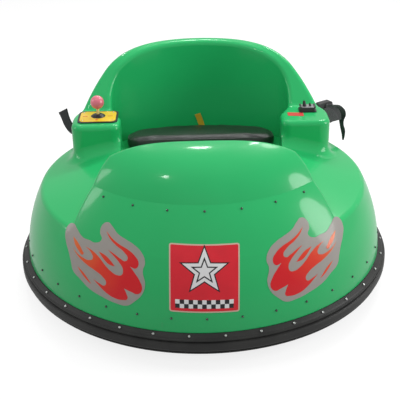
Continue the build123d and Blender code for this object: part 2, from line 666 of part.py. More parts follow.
# ---------------------------------------------------------------- swivel casters, front and rear
plate_long, plate_wide, plate_thick = CASTER_PLATE
race_r, race_thick = CASTER_RACE
head_z = frame_top + GAP - plate_thick         # underside of the caster's top plate
race_z = head_z - race_thick
crown_z = race_z - GAP                         # top of the fork's crown
crown_low = crown_z - CASTER_FORK
arm_top = crown_low - CASTER_WHEEL_R           # top of the fork's arms above the wheel's axle
fork_inner = CASTER_WHEEL_WIDE / 2 + CASTER_AXLE_R
fork_outer = fork_inner + CASTER_FORK
nut_r, nut_thick = CASTER_NUT
for name, plate_y in (("front", -CASTER_Y), ("rear", CASTER_Y)):
    axle_point = (0, plate_y + CASTER_TRAIL, CASTER_WHEEL_R)
    spin = Axis(axle_point, (1, 0, 0))
    section = Plane(origin=axle_point, x_dir=(1, 0, 0), z_dir=(0, -1, 0))
    sideways = Plane(origin=axle_point, x_dir=(0, 1, 0), z_dir=(1, 0, 0))

    with BuildPart() as caster_mount:
        with Locations((0, plate_y, frame_top + GAP + CASTER_MOUNT / 2)):
            Box(2 * RAIL_X + TUBE, 2 * CASTER_MOUNT_HALF, CASTER_MOUNT)
    save(caster_mount.part, f"caster_mount_{name}")

    with BuildPart() as caster_plate:
        with Locations((0, plate_y, head_z + plate_thick / 2)):
            Box(plate_long, plate_wide, plate_thick)
        with Locations((0, plate_y, race_z + race_thick / 2)):
            Cylinder(race_r, race_thick)
            Cylinder(KINGPIN_R + RUN, race_thick + 2 * GAP, mode=Mode.SUBTRACT)
    save(caster_plate.part, f"caster_plate_{name}")

    with BuildPart() as caster_fork:
        with Locations((0, plate_y, crown_z - CASTER_FORK / 2)):
            Cylinder(race_r, CASTER_FORK)
        with Locations((0, plate_y, crown_z + race_thick / 2)):
            Cylinder(KINGPIN_R, race_thick)
        crown_front, crown_rear = -CASTER_TRAIL - CASTER_ARM, -CASTER_TRAIL + CASTER_ARM
        with BuildSketch(sideways.offset(-fork_outer)):
            with BuildLine():
                Polyline(
                    (crown_front, arm_top), (crown_front, arm_top - CASTER_ARM / 3), (-CASTER_EAR, -CASTER_EAR / 2),
                    (-CASTER_EAR / 2, -CASTER_EAR), (CASTER_EAR / 2, -CASTER_EAR), (CASTER_EAR, -CASTER_EAR / 2),
                    (crown_rear, arm_top - CASTER_ARM / 2), (crown_rear, arm_top), close=True,
                )
            make_face()
        extrude(amount=2 * fork_outer)
        with BuildSketch(sideways.offset(-fork_inner)):
            with Locations((0, arm_top - CASTER_WHEEL_R)):
                Rectangle(4 * CASTER_WHEEL_R, 2 * CASTER_WHEEL_R)
        extrude(amount=2 * fork_inner, mode=Mode.SUBTRACT)
        with BuildSketch(sideways.offset(-fork_outer)):
            Circle(CASTER_AXLE_R + RUN)
        extrude(amount=2 * fork_outer, mode=Mode.SUBTRACT)
    save(caster_fork.part, f"caster_fork_{name}")

    with BuildPart() as caster_axle:
        with BuildSketch(sideways.offset(-fork_outer - nut_thick)):
            Circle(CASTER_AXLE_R)
        extrude(amount=2 * (fork_outer + nut_thick))
        for start in (-fork_outer - nut_thick, fork_outer + GAP):
            with BuildSketch(sideways.offset(start)):
                RegularPolygon(nut_r, 6)
            extrude(amount=nut_thick - GAP)
    save(caster_axle.part, f"caster_axle_{name}")

    tread_half = CASTER_WHEEL_WIDE / 2
    boss_half = fork_inner - GAP
    with BuildPart() as caster_wheel:
        with BuildSketch(section):
            with BuildLine():
                Polyline(
                    (-boss_half, CASTER_AXLE_R + RUN), (-boss_half, CASTER_HUB_R - 2), (-tread_half, CASTER_HUB_R),
                    (-tread_half, CASTER_WHEEL_R - CASTER_EDGE), (-tread_half + CASTER_EDGE, CASTER_WHEEL_R),
                    (tread_half - CASTER_EDGE, CASTER_WHEEL_R), (tread_half, CASTER_WHEEL_R - CASTER_EDGE),
                    (tread_half, CASTER_HUB_R), (boss_half, CASTER_HUB_R - 2),
                    (boss_half, CASTER_AXLE_R + RUN), close=True,
                )
            make_face()
        revolve(axis=spin)
    save(caster_wheel.part, f"caster_wheel_{name}")

# ---------------------------------------------------------------- cushion on the seat pan
pan_slope = math.atan2(SEAT_FRONT_Z - SEAT_REAR_Z, TUB_R - SEAT_FRONT_Y)
pan_normal = (0, math.sin(pan_slope), math.cos(pan_slope))
cushion_long = (CUSHION_REAR_Y - CUSHION_FRONT_Y) / math.cos(pan_slope)
cushion_mid_y = (CUSHION_REAR_Y + CUSHION_FRONT_Y) / 2
cushion_half = SEAT_HALF - CUSHION_SIDE_GAP
side_v = (CUSHION_SIDE_Y - cushion_mid_y) / math.cos(pan_slope)
pan_plane = Plane(origin=(0, cushion_mid_y, pan_z(cushion_mid_y)), x_dir=(1, 0, 0), z_dir=pan_normal)
with BuildPart() as seat_cushion:
    with BuildSketch(pan_plane.offset(GAP)) as cushion_plan:
        with BuildLine():
            rear = ThreePointArc((cushion_half, side_v), (0, cushion_long / 2), (-cushion_half, side_v))
            Polyline(rear @ 1, (-cushion_half, -cushion_long / 2), (cushion_half, -cushion_long / 2), rear @ 0)
        make_face()
        fillet(cushion_plan.vertices().group_by(Axis.Y)[-1], CUSHION_REAR_R)
        fillet(cushion_plan.vertices().group_by(Axis.Y)[0], CUSHION_FRONT_R)
    extrude(amount=CUSHION_THICK)
    fillet(seat_cushion.faces().sort_by(Axis.Z)[-1].edges(), CUSHION_EDGE_R)
save(seat_cushion.part, "seat_cushion")

# webbing tab that lifts the cushion, standing in the gap behind it
tab_low = pan_z(TUB_R - 5) + GAP
with BuildPart() as seat_tab:
    with BuildSketch(Plane(origin=(TAB_X, TUB_R - 4 * GAP, tab_low), x_dir=(1, 0, 0), z_dir=(0, -1, 0))):
        with BuildLine():
            Polyline(
                (-TAB_WIDE / 2, 0), (TAB_WIDE / 2, 0), (TAB_WIDE / 2 - TAB_LEAN, TAB_HIGH),
                (-TAB_WIDE / 2 - TAB_LEAN, TAB_HIGH), close=True,
            )
        make_face()
    extrude(amount=2.5)
save(seat_tab.part, "seat_tab")

# ---------------------------------------------------------------- hand controls on the arm rests
arm_z = ARM_TOP_Z + GAP
arm_mid = (SEAT_HALF + ARM_OUT) / 2
plate_x = arm_mid - PLATE_INWARD
with BuildPart() as joystick_plate:
    with BuildSketch(Plane.XY.offset(arm_z)):
        with Locations((-plate_x, PLATE_Y)):
            RectangleRounded(*PLATE_SIZE, PLATE_CORNER)
    extrude(amount=PLATE_THICK)
save(joystick_plate.part, "joystick_plate")

boot_z = arm_z + PLATE_THICK + GAP
stick_spot = (-plate_x, PLATE_Y + STICK_BACK)
stick_section = Plane(origin=(*stick_spot, boot_z), x_dir=(1, 0, 0), z_dir=(0, -1, 0))
stick_axis = Axis((*stick_spot, boot_z), (0, 0, 1))
with BuildPart() as joystick_boot:
    with BuildSketch(stick_section):
        with BuildLine():
            rise = ThreePointArc((BOOT_R, 0), (BOOT_R * 0.72, BOOT_HIGH * 0.62), (STICK_R + GAP + 3, BOOT_HIGH))
            Polyline(rise @ 1, (STICK_R + GAP, BOOT_HIGH), (STICK_R + GAP, 0), rise @ 0)
        make_face()
    revolve(axis=stick_axis)
save(joystick_boot.part, "joystick_boot")

with BuildPart() as joystick_shaft:
    with BuildSketch(Plane.XY.offset(boot_z)):
        with Locations(stick_spot):
            Circle(STICK_R)
    extrude(amount=STICK_LONG)
save(joystick_shaft.part, "joystick_shaft")

ball_z = boot_z + STICK_LONG + GAP + math.sqrt(BALL_R ** 2 - STICK_R ** 2) - BALL_SEAT
with BuildPart() as joystick_ball:
    with Locations((*stick_spot, ball_z)):
        Sphere(BALL_R)
    with Locations((*stick_spot, ball_z - BALL_R)):
        Cylinder(STICK_R + RUN, 2 * (boot_z + STICK_LONG + GAP - ball_z + BALL_R), mode=Mode.SUBTRACT)
save(joystick_ball.part, "joystick_ball")

switch_spot = (arm_mid + SWITCH_OUTWARD, SWITCH_Y)
switch_long, switch_wide, switch_high = SWITCH_SIZE
with BuildPart() as switch_box:
    with BuildSketch(Plane.XY.offset(arm_z)):
        with Locations(switch_spot):
            RectangleRounded(switch_long + 2 * SWITCH_RIM, switch_wide + 2 * SWITCH_RIM, SWITCH_RIM + 2)
    extrude(amount=PLATE_THICK)
    with BuildSketch(Plane.XY.offset(arm_z + PLATE_THICK)):
        with Locations(switch_spot):
            RectangleRounded(switch_long, switch_wide, SWITCH_RIM)
    extrude(amount=switch_high - PLATE_THICK, taper=12)
save(switch_box.part, "switch_box")

lever_z = arm_z + switch_high + GAP
with BuildPart() as switch_lever:
    with Locations((*switch_spot, lever_z)):
        Cone(switch_wide / 4, switch_wide / 12, LEVER_HIGH, align=(Align.CENTER, Align.CENTER, Align.MIN))
save(switch_lever.part, "switch_lever")

# ---------------------------------------------------------------- rider's belt, its two halves hanging outside
belt_turn = math.atan2(BELT_Y, math.sqrt(TOWER_R ** 2 - BELT_Y ** 2))
wall = TOWER_R + GAP
bracket_z = deck_z(TOWER_R) + COLUMN_FOOT_R + BRACKET_RISE
foot_thick, foot_wide, foot_high = BRACKET_SIZE
ear_reach, ear_high = EAR_SIZE
ear_low = bracket_z + (foot_high - ear_high) / 4
ear_high_z = ear_low + ear_high
buckle_wide, buckle_thick, buckle_high = BUCKLE_SIZE
buckle_low = bracket_z + BUCKLE_RISE
buckle_out = wall + BUCKLE_OUT + buckle_wide
for name, side in (("left", 1), ("right", -1)):
    outward = (side * math.cos(belt_turn), math.sin(belt_turn), 0)
    across_belt = (math.sin(belt_turn), -side * math.cos(belt_turn), 0)
    radial = Plane(origin=(0, 0, 0), x_dir=outward, z_dir=across_belt)   # x from the car's middle, y up

    with BuildPart() as belt_bracket:
        with BuildSketch(radial):
            with Locations((wall + foot_thick / 2, bracket_z + foot_high / 2)):
                Rectangle(foot_thick, foot_high)
        extrude(amount=foot_wide / 2, both=True)
        with BuildSketch(radial):
            with Locations((wall + foot_thick / 2 + ear_reach / 2, ear_low + ear_high / 2)):
                Rectangle(ear_reach, ear_high)
        extrude(amount=foot_thick / 2, both=True)
    save(belt_bracket.part, f"belt_bracket_{name}")

    # the webbing lies against one side of the bracket's ear
    web_side = radial.offset(foot_thick / 2 + GAP)
    web_in = wall + foot_thick + GAP
    if name == "right":
        with BuildPart() as belt_strap:
            with BuildSketch(web_side):
                with BuildLine():
                    Polyline(
                        (web_in, ear_low), (web_in + WEB_WIDE, ear_low), (web_in + WEB_WIDE * 1.15, ear_high_z),
                        (web_in + WEB_WIDE * 1.8, ear_low + 2.6 * WEB_WIDE),
                        (web_in + WEB_WIDE * 0.9, ear_low + 3.1 * WEB_WIDE), (web_in, ear_high_z), close=True,
                    )
                make_face()
            extrude(amount=WEB_THICK)
        save(belt_strap.part, "belt_strap_right")
    else:
        with BuildPart() as belt_buckle:
            with BuildSketch(radial):
                with Locations((wall + BUCKLE_OUT + buckle_wide / 2, buckle_low + buckle_high / 2)):
                    RectangleRounded(buckle_wide, buckle_high, buckle_wide / 6)
            extrude(amount=buckle_thick / 2, both=True)
        save(belt_buckle.part, "belt_buckle_left")
        fold = buckle_out + WEB_WIDE / 2           # the loose end folds down here
        end_z = buckle_low + buckle_high / 2 + GAP
        with BuildPart() as belt_strap:
            with BuildSketch(radial):
                with BuildLine():
                    FilletPolyline(
                        (buckle_out + GAP, end_z + WEB_WIDE / 2), (fold, end_z + WEB_WIDE * 0.65),
                        (fold + WEB_THICK, end_z - WEB_WIDE / 2), (fold + 2 * WEB_THICK, ear_low - WEB_WIDE / 2),
                        radius=[WEB_WIDE / 5, WEB_WIDE],
                    )
                trace(line_width=WEB_THICK)
            extrude(amount=WEB_WIDE / 2, both=True)
            with BuildSketch(web_side):
                with Locations((web_in + WEB_WIDE / 2, (ear_low + buckle_low - GAP) / 2)):
                    Rectangle(WEB_WIDE, buckle_low - GAP - ear_low)
            extrude(amount=WEB_THICK)
        save(belt_strap.part, "belt_strap_left")

save(bumper_ring.part, "bumper_ring")
save(bumper_hoop.part, "bumper_hoop")
save(chassis_rails.part, "chassis_rails")
save(chassis_outriggers.part, "chassis_outriggers")
save(battery_tray.part, "battery_tray")
save(battery.part, "battery")
save(control_box.part, "control_box")
save(body_shell.part, "body_shell")
save(cockpit_tub.part, "cockpit_tub")
save(charge_socket.part, "charge_socket")
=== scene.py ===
"""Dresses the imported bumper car: gel coat, stickers, rubber, cushion, belt, controls and underside."""
import math

import bpy
from mathutils import Matrix, Vector


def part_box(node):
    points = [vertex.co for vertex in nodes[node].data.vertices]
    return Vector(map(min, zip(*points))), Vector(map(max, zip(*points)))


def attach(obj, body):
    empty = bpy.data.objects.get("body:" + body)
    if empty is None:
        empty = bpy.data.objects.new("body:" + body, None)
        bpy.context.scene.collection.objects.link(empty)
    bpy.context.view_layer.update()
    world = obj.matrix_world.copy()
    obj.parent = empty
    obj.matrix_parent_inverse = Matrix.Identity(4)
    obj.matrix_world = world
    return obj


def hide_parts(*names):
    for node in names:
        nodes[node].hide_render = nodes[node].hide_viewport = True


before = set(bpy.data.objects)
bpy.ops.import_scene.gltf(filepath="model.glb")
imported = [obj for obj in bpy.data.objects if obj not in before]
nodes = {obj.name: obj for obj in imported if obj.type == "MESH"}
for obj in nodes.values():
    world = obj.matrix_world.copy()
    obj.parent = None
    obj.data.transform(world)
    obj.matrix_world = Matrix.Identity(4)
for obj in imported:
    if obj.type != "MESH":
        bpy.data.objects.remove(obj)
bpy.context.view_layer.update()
MM = 0.001
SIDES = (("left", 1), ("right", -1))
ENDS = ("front", "rear")

# the body's dome, an arc turned about Z, as in the part's source
DOME_ARC_R = 0.478
DOME_ARC_IN = 0.097          # radius at which the arc's centre lies
DOME_ARC_Z = 0.100
STICKER_R = 0.550            # radius at which the stickers' widths are measured

# ---------------------------------------------------------------- materials
HIDDEN_BELOW = 0.335         # under this height the laminate's inner side is bare fibre
SCUFFS_BELOW = 0.19
TREAD_R = (0.088, 0.094)     # the tyre's tread fades in between these radii
RIB_PITCH = 0.0022
TWILL_PITCH = 0.0030


class Value:
    """A socket of a node tree. Arithmetic on it adds Math nodes."""

    def __init__(self, owner, socket):
        self.owner = owner
        self.socket = socket

    def math(self, operation, *others):
        return self.owner.add("Math", {"operation": operation}, dict(enumerate((self, *others))))

    def __add__(self, other):
        return self.math("ADD", other)

    __radd__ = __add__

    def __mul__(self, other):
        return self.math("MULTIPLY", other)

    __rmul__ = __mul__

    def __sub__(self, other):
        return self.math("SUBTRACT", other)

    def __rsub__(self, other):
        return self.owner.add("Math", {"operation": "SUBTRACT"}, {0: other, 1: self})

    def __truediv__(self, other):
        return self.math("DIVIDE", other)

    def __gt__(self, other):
        return self.math("GREATER_THAN", other)

    def __lt__(self, other):
        return self.math("LESS_THAN", other)

    def abs(self):
        return self.math("ABSOLUTE")

    def step(self, low, high):
        """0 below low, 1 above high, and even in between."""
        return self.owner.add("MapRange", {"clamp": True}, {"Value": self, "From Min": low, "From Max": high})


class Tree:
    """A node tree, and the one way of adding a node to it."""

    def __init__(self, tree):
        self.tree = tree

    def add(self, kind, settings=None, inputs=None, out=0):
        """Node of a kind, with its settings, then its inputs; stops are a ramp's (position, colour) pairs."""
        node = self.tree.nodes.new("ShaderNode" + kind)
        for key, value in (settings or {}).items():
            if key == "stops":
                elements = node.color_ramp.elements
                while len(elements) < len(value):
                    elements.new(0.5)
                for element, (position, shade) in zip(elements, value):
                    element.position = position
                    element.color = (*shade, 1.0)
            else:
                setattr(node, key, value)
        for key, value in (inputs or {}).items():
            self.fill(node.inputs[key], value)
        return Value(self, node.outputs[out])

    def fill(self, socket, value):
        if isinstance(value, Value):
            self.tree.links.new(value.socket, socket)
        elif socket.type == "RGBA" and len(value) == 3:
            socket.default_value = (*value, 1.0)
        else:
            socket.default_value = value

    def mix(self, factor, first, second):
        """Mix of two colours."""
        return self.add("Mix", {"data_type": "RGBA"}, {0: factor, 6: first, 7: second}, out=2)

    def seen(self, mirrored):
        """1 for the camera's own rays, and the share mirrored for those that a glossy face reflects."""
        from_camera = self.add("LightPath", out="Is Camera Ray")
        from_gloss = self.add("LightPath", out="Is Glossy Ray")
        return from_camera.math("MAXIMUM", from_gloss * mirrored)


class Finish(Tree):
    """A material with one main shader."""

    def __init__(self, name, colour, roughness, metallic=0.0, **fixed):
        self.material = bpy.data.materials.new(name)
        self.material.use_nodes = True
        super().__init__(self.material.node_tree)
        self.shader = self.tree.nodes["Principled BSDF"]
        self.place = self.add("TexCoord", out="Object")
        self.set("Base Color", colour)
        self.set("Roughness", roughness)
        self.set("Metallic", metallic)
        for key, value in fixed.items():
            self.set(key.replace("_", " "), value)

    def set(self, name, value):
        self.fill(self.shader.inputs[name], value)

    def noise(self, scale, detail=3.0, roughness=0.5, vector=None):
        inputs = {"Vector": vector or self.place, "Scale": scale, "Detail": detail, "Roughness": roughness}
        return self.add("TexNoise", {}, inputs, out="Fac")

    def axes(self, vector=None):
        split = self.add("SeparateXYZ", {}, {0: vector or self.place}).socket.node
        return [Value(self, split.outputs[i]) for i in range(3)]

    def bump(self, height, distance, strength=1.0):
        inputs = {"Height": height, "Distance": distance, "Strength": strength}
        self.set("Normal", self.add("Bump", {}, inputs))


def tint(colour, factor):
    """The colour made darker or lighter."""
    return tuple(min(1.0, part * factor) for part in colour)


def laminate(name, hidden_side):
    """Green gel coat, and bare glass fibre laid in resin on the side that only shows from below.

    hidden_side is -1 where the hidden faces look inwards, as in the shell, and 1 where they look outwards.
    """
    f = Finish(name, (0.018, 0.44, 0.132), 0.36, Coat_Weight=0.42, Coat_Roughness=0.09,
               Specular_IOR_Level=0.15)
    x, y, z = f.axes()
    cloud = f.noise(3.0, 4.0)
    speckle = f.noise(420.0, 2.0)
    scuffs = f.noise(26.0, 6.0, 0.7).step(0.60, 0.74) * (SCUFFS_BELOW - z).step(0.0, 0.07)
    gel = f.mix(scuffs * 0.5, f.mix(cloud, (0.015, 0.42, 0.118), (0.023, 0.49, 0.150)), (0.10, 0.33, 0.17))

    normal_x, normal_y, normal_z = f.axes(f.add("TexCoord", out="Normal"))
    radius = (x * x + y * y).math("SQRT") + 0.001
    outwards = (normal_x * x + normal_y * y) / radius * hidden_side
    below = (HIDDEN_BELOW - z).step(0.0, 0.004)
    raw = ((outwards > 0.25) * below).math("MAXIMUM", normal_z < -0.35)
    cloth = {"Vector": f.place, "Scale": 160.0, "Mortar Size": 0.03}
    weave = f.add("TexBrick", {"offset": 0.5}, cloth, out="Fac")
    strands = f.noise(48.0, 8.0, 0.8)
    fibre = f.mix(strands.step(0.35, 0.7), (0.085, 0.230, 0.120), (0.210, 0.390, 0.240))
    f.set("Base Color", f.mix(raw, gel, fibre))
    f.set("Roughness", 0.30 + cloud * 0.06 + scuffs * 0.25 + raw * 0.25)
    f.set("Coat Weight", (0.42 - scuffs * 0.3) * (1 - raw))
    smooth_side = f.noise(14.0, 2.0) * 0.8 + speckle * 0.05
    f.bump(smooth_side * (1 - raw) + (strands * 3.0 + weave) * raw, 0.0006, 0.25)
    return f.material


def rubber(name, shade, roughness):
    f = Finish(name, (shade, shade, shade), roughness, Specular_IOR_Level=0.4)
    dust = f.noise(9.0, 5.0, 0.65)
    fine = f.noise(900.0, 2.0)
    dark = (shade * 0.8, shade * 0.8, shade * 0.78)
    pale = (shade * 2.2, shade * 2.2, shade * 2.1)
    f.set("Base Color", f.mix(dust.step(0.35, 0.8), dark, pale))
    f.set("Roughness", roughness + dust * 0.2)
    f.bump(fine + f.noise(90.0, 3.0) * 0.6, 0.0004, 0.35)
    return f.material


def tyre_rubber():
    """Black rubber with slanted tread blocks and with grooves that run round the tyre."""
    f = Finish("tyre_rubber", (0.018, 0.018, 0.018), 0.7, Specular_IOR_Level=0.35)
    x, y, z = f.axes()
    low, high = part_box("tyre_left")
    along, up = y - (low[1] + high[1]) / 2, z - (low[2] + high[2]) / 2
    turn = up.math("ARCTAN2", along)
    across = x.abs() - (low[0] + high[0]) / 2
    tread = (along * along + up * up).math("SQRT").step(*TREAD_R)
    blocks = (turn * 44.0 + across.abs() * 90.0).math("SINE").step(-0.55, -0.25)
    grooves = ((across * 620.0).math("COSINE") * -1.0).step(-0.7, -0.4)
    dust = f.noise(30.0, 5.0, 0.65)
    f.set("Base Color", f.mix(dust.step(0.35, 0.8), (0.014, 0.014, 0.014), (0.046, 0.044, 0.041)))
    f.set("Roughness", 0.62 + dust * 0.2)
    f.bump(blocks.math("MINIMUM", grooves) * tread + dust * 0.15, 0.0025, 0.9)
    return f.material


def plated(name, colour, roughness):
    """Bare or plated metal."""
    f = Finish(name, colour, roughness, 1.0)
    patches = f.noise(30.0, 5.0, 0.6)
    grain = f.noise(160.0, 4.0, 0.6)
    f.set("Base Color", f.mix(patches, tint(colour, 0.75), colour))
    f.set("Roughness", roughness + patches * 0.18 + grain * 0.08)
    f.bump(grain, 0.0002, 0.3)
    return f.material


def painted(name, colour, roughness=0.42):
    """Painted steel, chipped here and there."""
    f = Finish(name, colour, roughness, Coat_Weight=0.25, Coat_Roughness=0.2)
    wear = f.noise(34.0, 6.0, 0.7)
    chips = wear.step(0.70, 0.74)
    f.set("Base Color", f.mix(chips, f.mix(wear, colour, tint(colour, 1.5)), (0.16, 0.12, 0.10)))
    f.set("Roughness", roughness + wear * 0.2)
    f.set("Metallic", chips * 0.4)
    f.bump(f.noise(300.0, 2.0) + chips * -1.0, 0.0003, 0.4)
    return f.material


def moulded(name, colour, roughness, grain=700.0, depth=0.0002, coat=0.0):
    """Moulded plastic."""
    f = Finish(name, colour, roughness, Coat_Weight=coat, Coat_Roughness=0.08)
    tone = f.noise(18.0, 4.0)
    f.set("Base Color", f.mix(tone, tint(colour, 0.86), tint(colour, 1.1)))
    f.set("Roughness", roughness + tone * 0.1)
    f.bump(f.noise(grain, 2.0), depth, 0.4)
    return f.material


def vinyl():
    """Black upholstery with a fine leather grain."""
    f = Finish("black_vinyl", (0.016, 0.018, 0.017), 0.36, Coat_Weight=0.15, Coat_Roughness=0.3)
    cells = f.add("TexVoronoi", {"feature": "DISTANCE_TO_EDGE"}, {"Vector": f.place, "Scale": 520.0})
    rubbed = f.noise(7.0, 5.0, 0.6)
    f.set("Base Color", f.mix(rubbed.step(0.4, 0.75), (0.013, 0.015, 0.014), (0.035, 0.040, 0.037)))
    f.set("Roughness", 0.33 + rubbed * 0.16)
    f.bump(cells.step(0.0, 0.25) + rubbed * 0.4, 0.0003, 0.45)
    return f.material


def webbing(name, colour):
    """Woven strap: ribs across its length and a twill of threads, on the strap's own map."""
    f = Finish(name, colour, 0.75, Sheen_Weight=0.25, Sheen_Roughness=0.5)
    across, along = f.axes(f.add("UVMap", {"uv_map": "strap"}))[:2]
    ribs = (along * (2.0 * math.pi / RIB_PITCH)).math("SINE")
    threads = ((across + along) * (2.0 * math.pi / TWILL_PITCH)).math("SINE")
    dirt = f.noise(60.0, 4.0)
    shade = (ribs * 0.5 + 0.5) * 0.5 + dirt * 0.5
    f.set("Base Color", f.mix(shade, tint(colour, 0.55), tint(colour, 1.35)))
    f.set("Roughness", 0.68 + dirt * 0.2)
    f.bump(ribs * 0.7 + threads * 0.3, 0.0004, 0.6)
    return f.material


def film(name, colour, roughness=0.3, tone=0.12):
    """Printed vinyl film."""
    f = Finish(name, colour, roughness, Coat_Weight=0.25, Coat_Roughness=0.12, Specular_IOR_Level=0.2)
    cloud = f.noise(22.0, 4.0)
    f.set("Base Color", f.mix(cloud, tint(colour, 1 - tone), tint(colour, 1 + tone)))
    f.set("Roughness", roughness + cloud * 0.1)
    f.bump(f.noise(60.0, 3.0), 0.0002, 0.2)
    return f.material


def flame_film(side_name, side):
    """Red film that turns orange towards the upper outer tongues."""
    f = Finish("flame_film_" + side_name, (0.5, 0.01, 0.01), 0.3, Coat_Weight=0.25, Coat_Roughness=0.12,
               Specular_IOR_Level=0.2)
    x, y, z = f.axes()
    outward = (x * side).step(0.20, 0.46) * 0.65 + z.step(0.16, 0.36) * 0.35
    warm = outward + f.noise(11.0, 3.0) * 0.2 - 0.1
    stops = ((0.25, (0.66, 0.012, 0.018)), (0.45, (0.72, 0.045, 0.018)), (0.75, (0.76, 0.17, 0.035)))
    f.set("Base Color", f.add("ValToRGB", {"stops": stops}, {"Fac": warm}))
    f.bump(f.noise(60.0, 3.0), 0.0002, 0.2)
    return f.material


paint = {
    "body": laminate("shell_laminate", -1),
    "tub": laminate("tub_laminate", 1),
    "ring": rubber("ring_rubber", 0.014, 0.42),
    "tyre": tyre_rubber(),
    "caster": rubber("caster_rubber", 0.13, 0.6),
    "hoop": plated("hoop_steel", (0.40, 0.40, 0.41), 0.38),
    "frame": painted("frame_paint_black", (0.02, 0.02, 0.022)),
    "zinc": plated("zinc_plate", (0.60, 0.61, 0.60), 0.28),
    "steel": plated("bright_steel", (0.55, 0.55, 0.56), 0.25),
    "casting": plated("motor_casting", (0.45, 0.46, 0.47), 0.48),
    "case": moulded("battery_case", (0.028, 0.030, 0.036), 0.45),
    "black": moulded("black_moulding", (0.018, 0.018, 0.019), 0.38),
    "grey": moulded("switch_grey", (0.26, 0.26, 0.27), 0.35),
    "hub": moulded("hub_nylon", (0.60, 0.60, 0.57), 0.42),
    "pale": moulded("shaft_pale", (0.80, 0.66, 0.26), 0.3),
    "pink": moulded("ball_pink", (0.78, 0.17, 0.235), 0.26, 400.0, 0.0001, 0.6),
    "lamp": moulded("lamp_lens", (0.020, 0.030, 0.022), 0.2, 300.0, 0.0001, 0.7),
    "vinyl": vinyl(),
    # the piping is the cushion's own black vinyl painted lighter: a painted highlight along the seam
    "piping": moulded("vinyl_piping_painted_highlight", (0.05, 0.055, 0.052), 0.35, 500.0, 0.0001),
    "belt": webbing("belt_webbing", (0.016, 0.016, 0.021)),
    # the same black webbing as the belt, painted lighter: a painted lit side on the strap's fold
    "belt_painted_lit": webbing("belt_webbing_painted_lit", (0.050, 0.050, 0.054)),
    "tab": webbing("tab_webbing", (0.70, 0.43, 0.02)),
    "yellow": film("plate_yellow", (0.84, 0.56, 0.035), 0.28),
    "orange": film("print_orange", (0.66, 0.22, 0.02)),
    "label_red": film("label_red", (0.62, 0.05, 0.05), 0.35),
    "silver": film("sticker_silver", (0.34, 0.315, 0.29), 0.42, 0.08),
    "red": film("sticker_red", (0.72, 0.020, 0.035)),
    "edge": film("sticker_edge", (0.66, 0.47, 0.38), 0.35, 0.06),
    "white": film("sticker_white", (0.80, 0.80, 0.80), 0.3, 0.04),
    "ink": film("sticker_black", (0.016, 0.016, 0.018)),
}

node_paint = {
    "body_shell": "body", "cockpit_tub": "tub", "bumper_ring": "ring", "bumper_hoop": "hoop",
    "chassis_rails": "frame", "chassis_outriggers": "frame", "battery_tray": "steel", "battery": "case",
    "control_box": "black", "joystick_plate": "black", "joystick_boot": "black", "joystick_shaft": "pale",
    "joystick_ball": "pink", "switch_box": "black", "switch_lever": "black", "charge_socket": "black",
}
for side_name, side in SIDES:
    paint[f"flame_{side_name}"] = flame_film(side_name, side)
    for piece_name, key in (("motor_plate", "steel"), ("gear_motor", "casting"), ("belt_bracket", "steel"),
                            ("drive_axle", "steel"), ("wheel_hub", "hub"), ("tyre", "tyre")):
        node_paint[f"{piece_name}_{side_name}"] = key
for end_name in ENDS:
    for piece_name, key in (("mount", "frame"), ("plate", "zinc"), ("fork", "zinc"), ("axle", "zinc"),
                            ("wheel", "caster")):
        node_paint[f"caster_{piece_name}_{end_name}"] = key
for node_name, key in node_paint.items():
    node = nodes[node_name]
    if not node.material_slots:
        node.data.materials.append(paint[key])
    for slot in node.material_slots:
        slot.material = paint[key]


# ---------------------------------------------------------------- modelling helpers
def corners(node_name):
    """The low and the high corner of a node's box."""
    return [Vector(corner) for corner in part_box(node_name)]


def middle_of(node_name):
    low, high = corners(node_name)
    return (low + high) / 2


def done():
    """Back to object mode."""
    bpy.ops.object.mode_set(mode="OBJECT")


def clear():
    """Nothing selected, object mode."""
    if bpy.context.object and bpy.context.object.mode != "OBJECT":
        done()
    bpy.ops.object.select_all(action="DESELECT")


def only(piece):
    clear()
    piece.select_set(True)
    bpy.context.view_layer.objects.active = piece
    return piece


def edit_all(piece):
    """Edit mode with everything selected."""
    only(piece)
    bpy.ops.object.mode_set(mode="EDIT")
    bpy.ops.mesh.select_all(action="SELECT")


def pick(piece, test, kind="FACE"):
    """Selects what passes the test, and goes into edit mode.

    The test is given the middle and the normal of a face or a vertex, or the middle and direction of an edge.
    """
    only(piece)
    bpy.ops.object.mode_set(mode="EDIT")
    bpy.ops.mesh.select_mode(type=kind)
    bpy.ops.mesh.select_all(action="DESELECT")
    done()
    mesh = piece.data
    if kind == "FACE":
        for face in mesh.polygons:
            face.select = bool(test(face.center, face.normal))
    elif kind == "VERT":
        for vertex in mesh.vertices:
            vertex.select = bool(test(vertex.co, vertex.normal))
    else:
        for edge in mesh.edges:
            start, end = (mesh.vertices[i].co for i in edge.vertices)
            edge.select = bool(test((start + end) / 2, (end - start).normalized()))
    bpy.ops.object.mode_set(mode="EDIT")


def looks_up(middle, normal):
    return normal.z > 0.9


def bevel(piece, test, kind, width, segments=2):
    """Rounds the picked edges, or the edges of the picked faces."""
    pick(piece, test, kind)
    bpy.ops.mesh.bevel(offset=width, segments=segments, affect="EDGES")
    done()


def settle(piece):
    """Puts the piece's place into its mesh."""
    only(piece)
    bpy.ops.object.transform_apply(location=True, rotation=True, scale=True)
    return piece


def cylinder(vertices, radius, depth, location=(0, 0, 0), rotation=(0, 0, 0)):
    bpy.ops.mesh.primitive_cylinder_add(
        vertices=vertices, radius=radius, depth=depth, location=location, rotation=rotation
    )
    return settle(bpy.context.object)


def modify(piece, kind, **values):
    """Adds a modifier, sets it and applies it."""
    only(piece)
    modifier = piece.modifiers.new(kind.lower(), kind)
    for key, value in values.items():
        setattr(modifier, key, value)
    bpy.ops.object.modifier_apply(modifier=modifier.name)
    return piece


def smooth(piece, angle=35.0):
    only(piece)
    bpy.ops.object.shade_smooth_by_angle(angle=math.radians(angle))
    return piece


